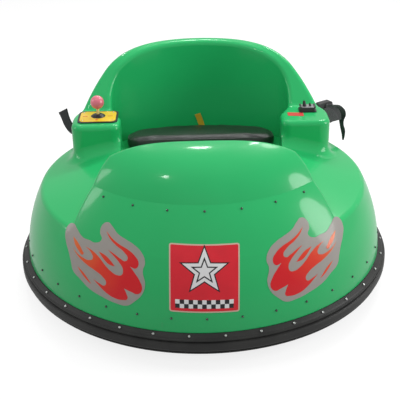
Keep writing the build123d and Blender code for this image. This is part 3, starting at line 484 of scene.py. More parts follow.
def dress(piece, name, finish, body="chassis"):
    """Names a finished piece, gives it its finish and lets it ride."""
    piece.name = name
    piece.data.name = name
    piece.data.materials.clear()
    piece.data.materials.append(paint[finish])
    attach(piece, body)
    return piece


def join(pieces):
    clear()
    for piece in pieces:
        piece.select_set(True)
    bpy.context.view_layer.objects.active = pieces[0]
    bpy.ops.object.join()
    return pieces[0]


def twin(piece, matrix):
    """A copy with its own mesh, moved by a matrix."""
    copy = piece.copy()
    copy.data = piece.data.copy()
    copy.data.transform(matrix)
    bpy.context.scene.collection.objects.link(copy)
    return copy


def frame_at(spot, normal):
    """Matrix that stands a piece at a spot with its Z along the normal."""
    return Matrix.Translation(spot) @ Vector(normal).to_track_quat("Z", "Y").to_matrix().to_4x4()


def row_of(model, frames, name, finish, body="chassis"):
    """One piece made of a copy of the model at each frame."""
    copies = [twin(model, matrix) for matrix in frames]
    bpy.data.objects.remove(model)
    return dress(join(copies), name, finish, body)


def on_dome(u, v, lift=0.0, straight=False):
    """Point on the dome: u along its girth, v up its arc from the arc's centre, lift outwards.

    The girth is measured at STICKER_R, or at the point's own height where the sticker's sides are straight.
    """
    rise = v / DOME_ARC_R
    reach = DOME_ARC_IN + (DOME_ARC_R + lift) * math.cos(rise)
    turn = u / (reach if straight else STICKER_R)
    up = DOME_ARC_Z + (DOME_ARC_R + lift) * math.sin(rise)
    return Vector((reach * math.sin(turn), -reach * math.cos(turn), up))


def dome_frame(turn_deg, z, lift):
    """Matrix that stands a piece on the dome at a turn from the front and a height."""
    turn = math.radians(turn_deg)
    rise = math.asin((z - DOME_ARC_Z) / DOME_ARC_R)
    normal = (math.cos(rise) * math.sin(turn), -math.cos(rise) * math.cos(turn), math.sin(rise))
    return frame_at(on_dome(turn * STICKER_R, rise * DOME_ARC_R, lift), normal)


def wrap(piece, lift, straight=False, thick=0.0004, pitch=0.012):
    """Lays a flat shape, drawn in u and v on the XY plane, onto the dome, with the film's thickness."""
    settle(piece)
    spots = [vertex.co for vertex in piece.data.vertices]
    edit_all(piece)
    for axis, normal in enumerate(((1.0, 0.0, 0.0), (0.0, 1.0, 0.0))):
        low = min(spot[axis] for spot in spots)
        high = max(spot[axis] for spot in spots)
        for i in range(1, int((high - low) / pitch) + 1):
            place = low + i * pitch
            bpy.ops.mesh.select_all(action="SELECT")
            bpy.ops.mesh.bisect(plane_co=tuple(place * part for part in normal), plane_no=normal)
    done()
    for vertex in piece.data.vertices:
        vertex.co = on_dome(vertex.co.x, vertex.co.y, lift, straight)
    piece.data.update()
    modify(piece, "SOLIDIFY", thickness=thick, offset=-1.0)
    return smooth(piece, 40.0)


def curve_to_mesh(curve):
    drawn = bpy.data.objects.new(curve.name, curve)
    bpy.context.scene.collection.objects.link(drawn)
    only(drawn)
    bpy.ops.object.convert(target="MESH")
    return bpy.context.object


def outline(rows, kind="BEZIER"):
    """Flat filled shape inside closed rows of points in millimetres; a third item marks a sharp point."""
    curve = bpy.data.curves.new("outline", "CURVE")
    curve.dimensions = "2D"
    curve.fill_mode = "BOTH"
    curve.resolution_u = 8
    for row in rows:
        spline = curve.splines.new(kind)
        points = spline.bezier_points if kind == "BEZIER" else spline.points
        points.add(len(row) - 1)
        for point, spot in zip(points, row):
            if kind == "BEZIER":
                point.co = (spot[0] * MM, spot[1] * MM, 0.0)
                point.handle_left_type = point.handle_right_type = "VECTOR" if len(spot) > 2 else "AUTO"
            else:
                point.co = (spot[0] * MM, spot[1] * MM, 0.0, 1.0)
        spline.use_cyclic_u = True
    return curve_to_mesh(curve)


# ---------------------------------------------------------------- camera, light and floor
EYE = (-0.030, -2.696, 1.606)       # a standing person's eye
LENS = 82.7
CAMERA_TURN = -0.008                # radians
CAMERA_DIP = 26.84                  # degrees below level
CAMERA_ROLL = -1.17
FLOOR_GLOW = 0.80
FLOOR_MIRRORED = 0.6                # share of the floor's glow that glossy faces reflect
SKY_MIRRORED = 0.4
SKY_LIGHT = 0.42                    # strength for what the sky lights
SKY_SEEN = 0.95                     # strength where the camera sees it

camera_data = bpy.data.cameras.new("camera")
camera_data.lens = LENS
camera_data.sensor_width = 36.0
camera = bpy.data.objects.new("camera", camera_data)
bpy.context.scene.collection.objects.link(camera)
camera.matrix_world = (
    Matrix.Translation(EYE)
    @ Matrix.Rotation(CAMERA_TURN, 4, "Z")
    @ Matrix.Rotation(math.radians(90.0 - CAMERA_DIP), 4, "X")
    @ Matrix.Rotation(math.radians(CAMERA_ROLL), 4, "Z")
)
bpy.context.scene.camera = camera

bpy.ops.mesh.primitive_plane_add(size=40.0, location=(0, 0, 0))
floor = bpy.context.object
floor.name = "studio_floor"
ground = Finish("studio_floor", (0.28, 0.28, 0.28), 0.9, Specular_IOR_Level=0.0, Emission_Strength=FLOOR_GLOW)
ground.set("Emission Color", ground.mix(ground.seen(FLOOR_MIRRORED), (0.0, 0.0, 0.0), (1.0, 1.0, 1.0)))
floor.data.materials.append(ground.material)


def soft_light(name, place, aim, size, power, shape, mirrored=True):
    """Area lamp of a width and a height, aimed at a point; mirrored if glossy faces reflect it."""
    lamp = bpy.data.lights.new(name, "AREA")
    lamp.shape = shape
    lamp.size, lamp.size_y = size
    lamp.energy = power
    holder = bpy.data.objects.new(name, lamp)
    bpy.context.scene.collection.objects.link(holder)
    holder.visible_glossy = mirrored
    direction = Vector(aim) - Vector(place)
    holder.matrix_world = Matrix.Translation(place) @ direction.to_track_quat("-Z", "Y").to_matrix().to_4x4()


soft_light("overhead", (0.3, 0.4, 3.4), (0.0, 0.0, 0.3), (3.4, 3.4), 28.0, "DISK", False)
soft_light("front_fill", (-0.3, -3.4, 2.8), (0.0, 0.0, 0.4), (2.6, 2.0), 34.0, "RECTANGLE", False)
soft_light("window_left", (-3.1, 0.2, 1.5), (0.0, 0.0, 0.4), (0.45, 2.0), 13.0, "ELLIPSE")
soft_light("window_right", (3.0, -0.5, 1.25), (0.0, 0.0, 0.4), (0.9, 1.9), 38.0, "ELLIPSE")
for lamp_name, across in (("left", -1.1), ("middle", 0.0), ("right", 1.0)):
    soft_light("ceiling_lamp_" + lamp_name, (across, 2.2, 3.1), (0.0, 0.0, 0.4), (0.30, 0.30), 11.0, "DISK")
soft_light("ceiling_lamp_front", (-1.1, -1.0, 3.0), (0.0, 0.0, 0.3), (0.22, 0.22), 4.0, "DISK")
soft_light("ceiling_lamp_rear", (1.4, 1.6, 2.6), (0.0, 0.2, 0.6), (0.9, 0.9), 22.0, "DISK")

world = bpy.data.worlds.new("studio")
world.use_nodes = True
bpy.context.scene.world = world
background = world.node_tree.nodes["Background"]
sky = Tree(world.node_tree)
sky_strength = {"Value": sky.seen(SKY_MIRRORED), "To Min": SKY_LIGHT, "To Max": SKY_SEEN}
sky.fill(background.inputs["Color"], (1.0, 1.0, 1.0))
sky.fill(background.inputs["Strength"], sky.add("MapRange", {}, sky_strength))
bpy.context.scene.view_settings.view_transform = "Standard"

# ---------------------------------------------------------------- flame stickers
# the sticker on the rider's left, u grows outwards; the other side mirrors it
FLAME_BACKING = [
    (180, 120), (172, 150), (182, 188), (178, 212), (192, 238), (220, 256), (250, 266), (284, 277),
    (308, 292), (330, 300), (347, 288), (347, 266), (334, 248), (352, 234), (380, 234), (406, 234),
    (440, 248), (466, 258), (486, 246), (488, 222), (470, 196), (450, 176), (432, 152), (418, 130),
    (384, 114), (350, 98), (300, 86), (256, 79), (222, 80), (200, 97),
]
FLAME_TONGUES = [
    (236, 94), (262, 94), (292, 104), (316, 118), (336, 130, 1), (314, 124), (297, 122), (292, 132),
    (306, 146), (332, 156), (362, 163), (392, 172), (416, 182), (436, 194, 1), (412, 184), (386, 179),
    (360, 180), (350, 188), (360, 202), (386, 213, 1), (354, 208), (326, 196), (302, 180), (280, 168),
    (260, 162), (245, 166), (243, 181), (256, 197), (278, 212), (304, 226, 1), (280, 219), (256, 210),
    (240, 206), (233, 214), (248, 230), (280, 244), (306, 258), (324, 274, 1), (294, 258), (264, 247),
    (236, 239), (212, 226), (197, 207), (203, 192), (222, 194, 1), (205, 178), (188, 158), (180, 135),
    (192, 120), (211, 123), (234, 129, 1), (225, 114), (222, 100),
]
FLAME_FLICKERS = [
    [(446, 224, 1), (420, 214), (398, 200), (388, 189), (412, 195), (432, 207)],
    [(334, 213, 1), (308, 208), (288, 198), (270, 185, 1), (290, 186), (312, 197)],
    [(402, 148, 1), (374, 137), (342, 114, 1), (354, 118), (378, 131)],
]


def on_side(row, side):
    """The row on one side of the car, its points in the order that keeps its turning sense."""
    return [(spot[0] * side, *spot[1:]) for spot in (row if side < 0 else row[::-1])]


for side_name, side in SIDES:
    backing = wrap(outline([on_side(FLAME_BACKING, side)]), 0.0006)
    dress(backing, f"flame_backing_{side_name}", "silver")
    tongues = wrap(outline([on_side(row, side) for row in (FLAME_TONGUES, *FLAME_FLICKERS)]), 0.0009)
    dress(tongues, f"flame_{side_name}", f"flame_{side_name}")

# ---------------------------------------------------------------- square badge in front
# a pale edge, a red field, and a star over a chequered band; lengths in millimetres
BADGE_SPOT = (-5.0, 176.0)
BADGE_HALF = (98.0, 96.5)
BADGE_TILT = -1.2
CHECK = 12.5
CHECKS = 13
BAND_LEFT = -CHECKS * CHECK / 2
BAND_LOW = -84.0


def rounded_square(inset, radius, steps=5):
    """Row of points round the badge, about its middle, with rounded corners."""
    row = []
    for quarter in range(4):
        wide = (BADGE_HALF[0] - inset - radius) * (1 if quarter in (0, 3) else -1)
        high = (BADGE_HALF[1] - inset - radius) * (1 if quarter in (0, 1) else -1)
        for i in range(steps + 1):
            bend = math.pi / 2 * (quarter + i / steps)
            row.append((wide + radius * math.cos(bend), high + radius * math.sin(bend)))
    return row


def star(outer, inner, rise=22.0, tips=5):
    row = []
    for i in range(2 * tips):
        reach = outer if i % 2 == 0 else inner
        turn = math.pi / 2 + i * math.pi / tips
        row.append((reach * math.cos(turn), rise + reach * math.sin(turn)))
    return row


def box_row(left, low, wide, high):
    return [(left, low), (left + wide, low), (left + wide, low + high), (left, low + high)]


def badge_layer(rows, lift):
    """A flat layer of the badge, drawn about its middle, laid on the dome."""
    layer = outline(rows, "POLY")
    layer.data.transform(Matrix.Rotation(math.radians(BADGE_TILT), 4, "Z"))
    layer.data.transform(Matrix.Translation((BADGE_SPOT[0] * MM, BADGE_SPOT[1] * MM, 0.0)))
    return wrap(layer, lift, straight=True)


checks = [
    badge_layer([box_row(BAND_LEFT + i * CHECK, BAND_LOW + CHECK * (i % 2), CHECK, CHECK)], 0.0013)
    for i in range(CHECKS)
]
dress(badge_layer([rounded_square(0.0, 7.0)], 0.0006), "badge_edge", "edge")
dress(badge_layer([rounded_square(4.0, 4.0)], 0.0009), "badge_field", "red")
dress(badge_layer([star(74, 31)], 0.0011), "badge_star_edge", "ink")
dress(badge_layer([star(65, 27)], 0.0013), "badge_star", "white")
dress(badge_layer([star(40, 16.5), star(30, 12.5)[::-1]], 0.0015), "badge_star_line", "ink")
dress(badge_layer([box_row(BAND_LEFT, BAND_LOW, CHECKS * CHECK, 2 * CHECK)], 0.0011), "badge_band", "white")
dress(join(checks), "badge_checks", "ink")

# ---------------------------------------------------------------- screws and lamps
STEP_DEG = 10                       # one screw, and one lamp, every so many degrees
LIP_SCREW_R = 0.5855
LIP_SCREW_Z = 0.1115
LIP_NORMAL = (0.55, 0.835)          # outwards and up, on the ring's lip
LAMP_R = 0.0036
LAMP_LIFT = 0.0006
LOW_LAMP_Z = 0.160
HOOD_LAMP_Z = 0.430
HOOD_LAMPS = 7
HOOD_LAMP_STEP = 13.5               # degrees


def screw_head(radius, height, slot_deep=0.0004):
    """Pan head with a recess, on the XY plane."""
    head = cylinder(16, radius, height, (0, 0, height / 2))
    bevel(head, looks_up, "FACE", height * 0.45)
    pick(head, lambda middle, normal: normal.z > 0.99 and middle.z > height * 0.9)
    bpy.ops.mesh.inset(thickness=radius * 0.45)
    bpy.ops.transform.translate(value=(0, 0, -slot_deep))
    done()
    return smooth(head, 40.0)


def lamp_bead(radius):
    """Ball cut off flat below."""
    bpy.ops.mesh.primitive_uv_sphere_add(segments=14, ring_count=10, radius=radius)
    bead = settle(bpy.context.object)
    pick(bead, lambda spot, normal: spot.z < -radius * 0.4, "VERT")
    bpy.ops.mesh.delete(type="VERT")
    bpy.ops.mesh.select_non_manifold()
    bpy.ops.mesh.edge_face_add()
    done()
    return smooth(bead, 60.0)


lip_frames = []
for i in range(360 // STEP_DEG):
    turn = math.radians(STEP_DEG / 2 + STEP_DEG * i)
    outwards = Vector((math.sin(turn), -math.cos(turn), 0.0))
    spot = outwards * LIP_SCREW_R + Vector((0, 0, LIP_SCREW_Z))
    lip_frames.append(frame_at(spot, outwards * LIP_NORMAL[0] + Vector((0, 0, LIP_NORMAL[1]))))
row_of(screw_head(0.0036, 0.0024, 0.0006), lip_frames, "ring_screws", "zinc")

# none under the charging socket
low_lamps = [dome_frame(turn, LOW_LAMP_Z, LAMP_LIFT) for turn in range(0, 360, STEP_DEG) if turn != 180]
row_of(lamp_bead(LAMP_R), low_lamps, "low_lamps", "lamp")
hood_lamps = [
    dome_frame(HOOD_LAMP_STEP * (i - (HOOD_LAMPS - 1) / 2), HOOD_LAMP_Z, LAMP_LIFT) for i in range(HOOD_LAMPS)
]
row_of(lamp_bead(LAMP_R), hood_lamps, "hood_lamps", "lamp")

# ---------------------------------------------------------------- cushion
CUSHION_SHRINK = (0.985, 0.975, 0.93)       # the cover starts smaller than the solid, and swells to it
CUSHION_SWELL = 0.007                       # the farthest that the pressure may move a point
CUSHION_STEPS = 20
CUSHION_VOXEL = 0.0055
CUSHION_DROP = 0.001
CUSHION_THICK = 0.040
PIPING_R = 0.0022
PIPING_RISE = 0.013                         # height of the seam over the cushion's middle

cushion_low, cushion_high = corners("seat_cushion")
cushion_mid = middle_of("seat_cushion")


def inflate(pad):
    """Lets pressure swell the pad, as a cloth, by no more than CUSHION_SWELL."""
    before = [vertex.co.copy() for vertex in pad.data.vertices]
    only(pad)
    cloth = pad.modifiers.new("cloth", "CLOTH")
    cloth.settings.use_pressure = True
    cloth.settings.uniform_pressure_force = 4.0
    cloth.settings.effector_weights.gravity = 0.0
    cloth.settings.quality = 5
    for step in range(1, CUSHION_STEPS + 1):
        bpy.context.scene.frame_set(step)
    bpy.ops.object.modifier_apply(modifier="cloth")
    bpy.context.scene.frame_set(1)
    for vertex, start in zip(pad.data.vertices, before):
        move = vertex.co - start
        if move.length > CUSHION_SWELL:
            vertex.co = start + move * (CUSHION_SWELL / move.length)


def make_cushion():
    pad = nodes["seat_cushion"].copy()
    pad.data = nodes["seat_cushion"].data.copy()
    pad.parent = None
    for key in list(pad.keys()):
        del pad[key]
    bpy.context.scene.collection.objects.link(pad)
    pad.data.transform(Matrix.Translation(-cushion_mid))
    pad.data.transform(Matrix.Diagonal((*CUSHION_SHRINK, 1.0)))
    pad.data.transform(Matrix.Translation(cushion_mid - Vector((0, 0, CUSHION_DROP))))
    edit_all(pad)
    bpy.ops.mesh.remove_doubles(threshold=0.00001)
    bpy.ops.mesh.normals_make_consistent(inside=False)
    done()
    modify(pad, "REMESH", mode="VOXEL", voxel_size=CUSHION_VOXEL)
    inflate(pad)
    modify(pad, "SUBSURF", levels=1, render_levels=1)
    only(pad)
    bpy.ops.object.shade_smooth()
    return pad


def piping_round(pad, points=96):
    """Closed bead of piping where the cushion's top and side panels are sewn together."""
    slope = (cushion_high.z - cushion_low.z - CUSHION_THICK) / (cushion_high.y - cushion_low.y)
    start = cushion_mid + Vector((0.0, 0.0, PIPING_RISE))
    curve = bpy.data.curves.new("piping", "CURVE")
    curve.dimensions = "3D"
    curve.bevel_depth = PIPING_R
    curve.bevel_resolution = 3
    spline = curve.splines.new("NURBS")
    spline.points.add(points - 1)
    for i, point in enumerate(spline.points):
        turn = 2 * math.pi * i / points
        across = Vector((math.cos(turn), math.sin(turn), -slope * math.sin(turn)))
        spot = pad.ray_cast(start, across)[1]
        point.co = (*(spot - across.normalized() * 0.0004), 1.0)
    spline.order_u = 4
    spline.use_cyclic_u = True
    return smooth(curve_to_mesh(curve), 80.0)


cushion = make_cushion()
dress(cushion, "cushion_cover", "vinyl")
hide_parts("seat_cushion")
# the piping's lighter colour is a painted highlight along the cushion's seam
dress(piping_round(cushion), "cushion_piping", "piping")


# ---------------------------------------------------------------- lifting tab and belt
def between(rows, t):
    """Smooth curve through rows of vectors, at t from 0 to the last row's number."""
    i = min(int(t), len(rows) - 2)
    part = t - i
    before, first, second, after = (rows[max(0, min(len(rows) - 1, k))] for k in (i - 1, i, i + 1, i + 2))
    return 0.5 * (
        2 * first
        + (second - before) * part
        + (2 * before - 5 * first + 4 * second - after) * part * part
        + (3 * first - before - 3 * second + after) * part * part * part
    )


def ribbon(spine, thick, cells=5):
    """Flat strap through (middle, half-width vector) pairs, with its own map in metres across and along."""
    rows = (len(spine) - 1) * 8
    bpy.ops.mesh.primitive_grid_add(x_subdivisions=cells, y_subdivisions=rows, size=1.0)
    strap = bpy.context.object
    middles = [Vector(middle) for middle, half in spine]
    halves = [Vector(half) for middle, half in spine]
    length = sum((end - start).length for start, end in zip(middles, middles[1:]))
    strap.data.uv_layers[0].name = "strap"
    layer = strap.data.uv_layers["strap"]
    for loop in strap.data.loops:
        spot = strap.data.vertices[loop.vertex_index].co
        layer.data[loop.index].uv = (spot.x * 2 * halves[0].length, (spot.y + 0.5) * length)
    for vertex in strap.data.vertices:
        t = (vertex.co.y + 0.5) * (len(spine) - 1)
        vertex.co = between(middles, t) + between(halves, t) * (2 * vertex.co.x)
    strap.data.update()
    modify(strap, "SOLIDIFY", thickness=thick, offset=0.0)
    modify(strap, "BEVEL", width=thick * 0.3, segments=2, limit_method="ANGLE")
    return smooth(strap, 50.0)


tab_low, tab_high = corners("seat_tab")
tab_y = tab_low.y + 0.0006
seat_tab = ribbon([
    ((tab_high.x - 0.010, tab_y, tab_low.z), (0.010, 0, 0)),
    ((tab_high.x - 0.016, tab_y, tab_low.z + 0.026), (0.010, 0, 0.002)),
    ((tab_high.x - 0.024, tab_y - 0.001, tab_low.z + 0.054), (0.010, 0, 0.003)),
    ((tab_high.x - 0.032, tab_y - 0.003, tab_high.z - 0.003), (0.010, 0, 0.003)),
], 0.0018)
dress(seat_tab, "cushion_tab", "tab")
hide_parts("seat_tab")

# the belt's rows are (out, along, up) of a strap's middle and of its half width
BELT_TURN = math.radians(33.0)      # where round the back's wall the belt hangs
EAR_RISE = 0.0155                   # from a bracket's underside to the middle of its ear


def belt_spot(side, out, along, up):
    """Point beside the back's wall: out from the car's middle, along towards the front, up from the floor."""
    outwards = Vector((side * math.cos(BELT_TURN), math.sin(BELT_TURN), 0.0))
    forwards = Vector((side * math.sin(BELT_TURN), -math.cos(BELT_TURN), 0.0))
    return outwards * out + forwards * along + Vector((0.0, 0.0, up))


def belt_ribbon(side, rows, thick):
    return ribbon([(belt_spot(side, *middle), belt_spot(side, *half)) for middle, half in rows], thick)


ear_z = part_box("belt_bracket_left")[0][2] + EAR_RISE
fold_rows = [
    ((0.505, 0.0145, 0.447), (0.004, 0, 0.0185)),
    ((0.527, 0.0150, 0.441), (0.008, 0, 0.0190)),
    ((0.546, 0.0150, 0.428), (0.0152, 0, 0.0130)),
    ((0.559, 0.0145, 0.410), (0.0185, 0, 0.0050)),
    ((0.562, 0.0135, 0.392), (0.0185, 0.002, 0.0005)),
]
behind = Vector((-0.013, 0.0045, -0.012))
ear_to_buckle = [
    ((0.492, 0.0036, ear_z - 0.012), (0.018, 0, 0.0)),
    ((0.492, 0.0036, ear_z + 0.004), (0.018, 0, 0.0)),
    ((0.493, 0.0040, ear_z + 0.020), (0.018, 0, 0.0)),
]
# the fold, its backing and the stub to the buckle are painted lighter than the tail of the same strap:
# painted light
bundle = join([
    belt_ribbon(1, fold_rows, 0.0028),
    belt_ribbon(1, [(Vector(middle) + behind, half) for middle, half in fold_rows[:-1]], 0.0026),
    belt_ribbon(1, ear_to_buckle, 0.0026),
])
dress(bundle, "belt_bundle", "belt_painted_lit")
tail = belt_ribbon(1, [
    ((0.520, 0.0215, 0.459), (0.002, 0.010, 0.006)),
    ((0.548, 0.0215, 0.4515), (0.003, 0.010, 0.0060)),
    ((0.568, 0.0190, 0.4380), (0.0045, 0.009, 0.0055)),
    ((0.583, 0.0160, 0.422), (0.0060, 0.009, 0.0040)),
    ((0.590, 0.0130, 0.405), (0.0060, 0.009, 0.0010)),
    ((0.5875, 0.0100, 0.3875), (0.0045, 0.008, -0.0005)),
    ((0.591, 0.0090, 0.367), (0.0020, 0.008, 0.001)),
    ((0.599, 0.0080, 0.345), (0.0040, 0.007, 0.001)),
    ((0.602, 0.0080, 0.326), (0.0020, 0.006, 0.0)),
    ((0.6015, 0.0080, 0.306), (0.0008, 0.003, 0.0)),
], 0.0024)
dress(tail, "belt_tail", "belt")
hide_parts("belt_strap_left")
short_end = belt_ribbon(-1, [
    ((0.490, 0.0036, ear_z - 0.004), (0.002, 0, 0.0180)),
    ((0.507, 0.0040, ear_z - 0.013), (-0.003, 0, 0.0190)),
    ((0.5266, 0.0055, 0.386), (-0.0116, 0, 0.0155)),
    ((0.5440, 0.0065, 0.403), (-0.0165, 0, 0.0100)),
    ((0.5545, 0.0075, 0.428), (-0.0180, 0, 0.0060)),
    ((0.5625, 0.0080, 0.4519), (-0.0205, 0.001, 0.0120)),
], 0.0040)
dress(short_end, "belt_short_end", "belt")
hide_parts("belt_strap_right")

# ---------------------------------------------------------------- joystick
FACE_THICK = 0.0010
PRINT_THICK = 0.0003
SEAL_R = 0.0240
SEAL_THICK = 0.0012

plate_low, plate_high = corners("joystick_plate")
plate_mid = middle_of("joystick_plate")
stick_mid = middle_of("joystick_shaft")
mark_z = plate_high.z + FACE_THICK


def slab(mid_x, mid_y, low_z, wide, long, thick, corner, round_edge=0.0):
    """Flat plate with rounded corners on a level surface."""
    spot = (mid_x, mid_y, low_z + thick / 2)
    bpy.ops.mesh.primitive_cube_add(size=1.0, location=spot, scale=(wide, long, thick))
    plate = settle(bpy.context.object)
    bevel(plate, lambda spot, along: abs(along.z) > 0.9, "EDGE", corner, 6)
    if round_edge:
        rim_z = low_z + thick * 0.9
        bevel(plate, lambda spot, along: spot.z > rim_z and abs(along.z) < 0.1, "EDGE", round_edge)
    return smooth(plate, 35.0)


plate_face = slab(
    plate_mid.x, plate_mid.y, plate_high.z, wide=0.119, long=0.089, thick=FACE_THICK, corner=0.0160,
    round_edge=0.0004,
)
dress(plate_face, "joystick_face", "yellow")
side_marks = [
    slab(plate_mid.x + shift, stick_mid.y - 0.002, mark_z, wide=0.017, long=0.0055, thick=PRINT_THICK,
         corner=0.002)
    for shift in (-0.043, 0.040)
]
dress(join(side_marks), "joystick_side_marks", "orange")
front_mark = slab(
    plate_mid.x - 0.003, stick_mid.y - 0.034, mark_z, wide=0.0085, long=0.0075, thick=PRINT_THICK,
    corner=0.003,
)
dress(front_mark, "joystick_front_mark", "red")
screw_spots = [
    Matrix.Translation((plate_mid.x + across * 0.049, plate_mid.y + along * 0.035, mark_z))
    for across in (-1, 1) for along in (-1, 1)
]
row_of(screw_head(0.0024, 0.0014), screw_spots, "joystick_screws", "zinc")
seal = cylinder(32, SEAL_R, SEAL_THICK)
seal.data.transform(Matrix.Diagonal((1.0, 0.88, 1.0, 1.0)))
seal.data.transform(Matrix.Translation((stick_mid.x, stick_mid.y, mark_z + SEAL_THICK / 2)))
pick(seal, looks_up)
bpy.ops.mesh.inset(thickness=0.002)
bpy.ops.transform.translate(value=(0, 0, SEAL_THICK))
done()
dress(smooth(seal, 35.0), "joystick_seal", "black")

# ---------------------------------------------------------------- switch on the other arm
SWITCH_END_X = 0.0235               # from the switch's middle to its raised ends

switch_low, switch_high = corners("switch_box")
switch_mid = middle_of("switch_box")
top_z = switch_high.z
bezel = slab(
    switch_mid.x, switch_mid.y, top_z, wide=0.044, long=0.030, thick=0.0016, corner=0.004, round_edge=0.0006
)
dress(bezel, "switch_bezel", "grey")
guards = [
    slab(switch_mid.x + shift, switch_mid.y, top_z, wide=0.006, long=0.034, thick=0.0035, corner=0.0022,
         round_edge=0.0008)
    for shift in (-SWITCH_END_X, SWITCH_END_X)
]
dress(join(guards), "switch_ends", "black")


def lever_at(shift, radius, high):
    """Tapered toggle with a flattened tip, leaning a little to the rider's right."""
    bpy.ops.mesh.primitive_cone_add(
        vertices=20, radius1=radius, radius2=radius * 0.35, depth=high,
        location=(switch_mid.x + shift, switch_mid.y - 0.002, top_z + high / 2),
    )
    toggle = settle(bpy.context.object)
    pick(toggle, lambda spot, normal: spot.z > top_z + high * 0.9, "VERT")
    bpy.ops.transform.resize(value=(1.5, 0.7, 1.0))
    bpy.ops.transform.translate(value=(-0.002, 0, 0))
    bpy.ops.mesh.bevel(offset=0.0008, segments=2, affect="EDGES")
    done()
    return smooth(toggle, 50.0)


lever = lever_at(-0.010, 0.0072, 0.0210)
dress(lever, "switch_toggle", "black")
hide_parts("switch_lever")
dress(lever_at(0.009, 0.0050, 0.0120), "switch_side_button", "black")
label = slab(
    switch_mid.x - 0.043, switch_low.y - 0.016, plate_low.z, wide=0.052, long=0.030, thick=0.0004,
    corner=0.002,
)
pick(label, lambda spot, normal: spot.x < switch_mid.x - 0.05, "VERT")
bpy.ops.transform.translate(value=(0.0, 0.006, 0.0))
done()
dress(label, "switch_label", "label_red")

# ---------------------------------------------------------------- wheels, motors and casters
HUB_BOLTS = 5
HUB_BOLT_R = 0.045                  # radius of their circle
HUB_BOLT_OUT = 0.0061               # from the tyre's middle plane to the bolts' seat
GEARBOX_DEEP = 0.038                # from the motor's outer end to its gearbox's inner face
GEARBOX_BOLT = 0.033                # half of the bolts' spacing
CAP_R = 0.0402
CAP_DEEP = 0.016
CASTER_BOLT = (0.041, 0.029)        # half of the bolts' spacing, across and along
CASTER_PLATE = 0.004                # the plate's thickness
RACE_R = 0.0232
SUNK = 0.0003                       # how far a bolt's washer sinks into what it sits on


def hex_bolt(radius, height):
    """Hexagon head on a washer, on the XY plane."""
    washer = cylinder(20, radius * 1.35, height * 0.25, (0, 0, height * 0.125))
    head = cylinder(6, radius, height * 0.75, (0, 0, height * 0.625))
    bevel(head, looks_up, "FACE", height * 0.12)
    return smooth(join([head, washer]), 30.0)


axle_y = middle_of("tyre_left").y
axle_z = middle_of("tyre_left").z
for side_name, side in SIDES:
    bolt_x = middle_of("tyre_" + side_name).x + side * HUB_BOLT_OUT
    frames = []
    for i in range(HUB_BOLTS):
        turn = math.radians(90 + 360 / HUB_BOLTS * i)
        spot = (bolt_x, axle_y + HUB_BOLT_R * math.cos(turn), axle_z + HUB_BOLT_R * math.sin(turn))
        frames.append(frame_at(spot, (side, 0, 0)))
    row_of(hex_bolt(0.0060, 0.0060), frames, f"hub_bolts_{side_name}", "zinc", f"drive_wheel_{side_name}")

    motor_low, motor_high = corners("gear_motor_" + side_name)
    outer_x, inner_x = (motor_high.x, motor_low.x) if side > 0 else (motor_low.x, motor_high.x)
    face_x = outer_x - side * (GEARBOX_DEEP + SUNK)
    frames = [
        frame_at((face_x, axle_y + along * GEARBOX_BOLT, axle_z + rise * GEARBOX_BOLT), (-side, 0, 0))
        for along in (-1, 1) for rise in (-1, 1)
    ]
    row_of(hex_bolt(0.0048, 0.0050), frames, f"gearbox_bolts_{side_name}", "zinc")
    cap = cylinder(40, CAP_R, CAP_DEEP, (inner_x + side * 0.0075, axle_y, axle_z), (0, math.pi / 2, 0))
    bevel(cap, lambda middle, normal: abs(normal.x) > 0.9, "FACE", 0.003, 3)
    dress(smooth(cap, 35.0), f"motor_cap_{side_name}", "black")

for end_name in ENDS:
    base_low, base_high = corners("caster_plate_" + end_name)
    base_mid = (base_low + base_high) / 2
    bolt_z = base_high.z - CASTER_PLATE - SUNK
    frames = [
        frame_at((base_mid.x + across, base_mid.y + along, bolt_z), (0, 0, -1))
        for across in (-CASTER_BOLT[0], CASTER_BOLT[0]) for along in (-CASTER_BOLT[1], CASTER_BOLT[1])
    ]
    row_of(hex_bolt(0.0052, 0.0052), frames, f"caster_bolts_{end_name}", "zinc")
    bpy.ops.mesh.primitive_torus_add(
        major_segments=48, minor_segments=10, major_radius=RACE_R, minor_radius=0.0021,
        location=(base_mid.x, base_mid.y, base_low.z + 0.0030),
    )
    dress(smooth(settle(bpy.context.object), 60.0), f"caster_race_{end_name}", "steel")

# ---------------------------------------------------------------- weld beads
# where the outriggers meet the rails
CROSSING_Y = (-0.250, 0.040, 0.330, 0.140, 0.250)
TUBE_HALF = 0.0125                  # half the outriggers' width
BEAD_R = 0.0026
BEAD_LUMPS = 8


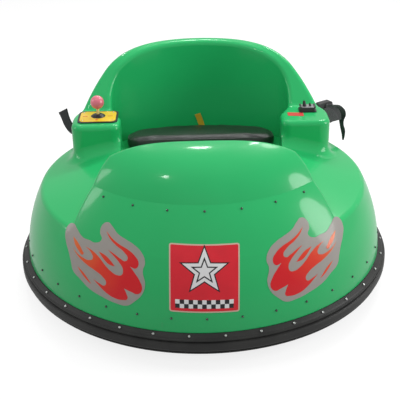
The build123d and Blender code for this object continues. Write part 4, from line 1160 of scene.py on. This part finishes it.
def weld_bead(start, end):
    """Lumpy bead of weld from start to end."""
    start, end = Vector(start), Vector(end)
    length = (end - start).length
    bead = cylinder(8, BEAD_R, length)
    edit_all(bead)
    for i in range(1, BEAD_LUMPS):
        bpy.ops.mesh.select_all(action="SELECT")
        bpy.ops.mesh.bisect(plane_co=(0, 0, length * (i / BEAD_LUMPS - 0.5)), plane_no=(0, 0, 1))
    done()
    for vertex in bead.data.vertices:
        swell = 0.82 + 0.24 * abs(math.sin((vertex.co.z / length + 0.5) * BEAD_LUMPS * math.pi / 2))
        vertex.co.x *= swell
        vertex.co.y *= swell
    bead.data.transform(frame_at((start + end) / 2, end - start))
    return smooth(bead, 70.0)


rail_low, rail_high = corners("chassis_rails")
beads = []
for middle_y in CROSSING_Y:
    for side in (-1, 1):
        x = side * rail_high.x
        for y in (middle_y - TUBE_HALF, middle_y + TUBE_HALF):
            beads.append(weld_bead((x, y, rail_low.z + 0.001), (x, y, rail_high.z - 0.001)))
        x = side * (rail_high.x + 0.0002)
        under_z = rail_low.z - 0.0002
        beads.append(weld_bead((x, middle_y - 0.012, under_z), (x, middle_y + 0.012, under_z)))
dress(join(beads), "rail_welds", "frame")

# ---------------------------------------------------------------- charging socket
SOCKET_Z = 0.225
SOCKET_FACE = 0.0036                # how far its face stands off the dome
PIN_LONG = 0.012
PIN_SPOTS = ((-0.0036, -0.0021), (0.0036, -0.0021), (0.0, 0.0042))      # across and up on its face
SOCKET_SCREW = 0.0135

socket_rise = math.asin((SOCKET_Z - DOME_ARC_Z) / DOME_ARC_R)
socket_normal = Vector((0.0, math.cos(socket_rise), math.sin(socket_rise)))
socket_up = Vector((0.0, -math.sin(socket_rise), math.cos(socket_rise)))
socket_spot = Vector((0.0, DOME_ARC_IN, DOME_ARC_Z)) + socket_normal * (DOME_ARC_R + SOCKET_FACE)
pin = cylinder(14, 0.0013, PIN_LONG)
bevel(pin, looks_up, "FACE", 0.0006)
smooth(pin, 40.0)
pin_frames = []
for across, up in PIN_SPOTS:
    spot = socket_spot + Vector((across, 0, 0)) + socket_up * up - socket_normal * PIN_LONG
    pin_frames.append(frame_at(spot, socket_normal))
row_of(pin, pin_frames, "socket_contacts", "zinc")
screw_frames = [
    frame_at(socket_spot + Vector((x, 0, 0)), socket_normal) for x in (-SOCKET_SCREW, SOCKET_SCREW)
]
row_of(screw_head(0.0024, 0.0016), screw_frames, "socket_screws", "zinc")
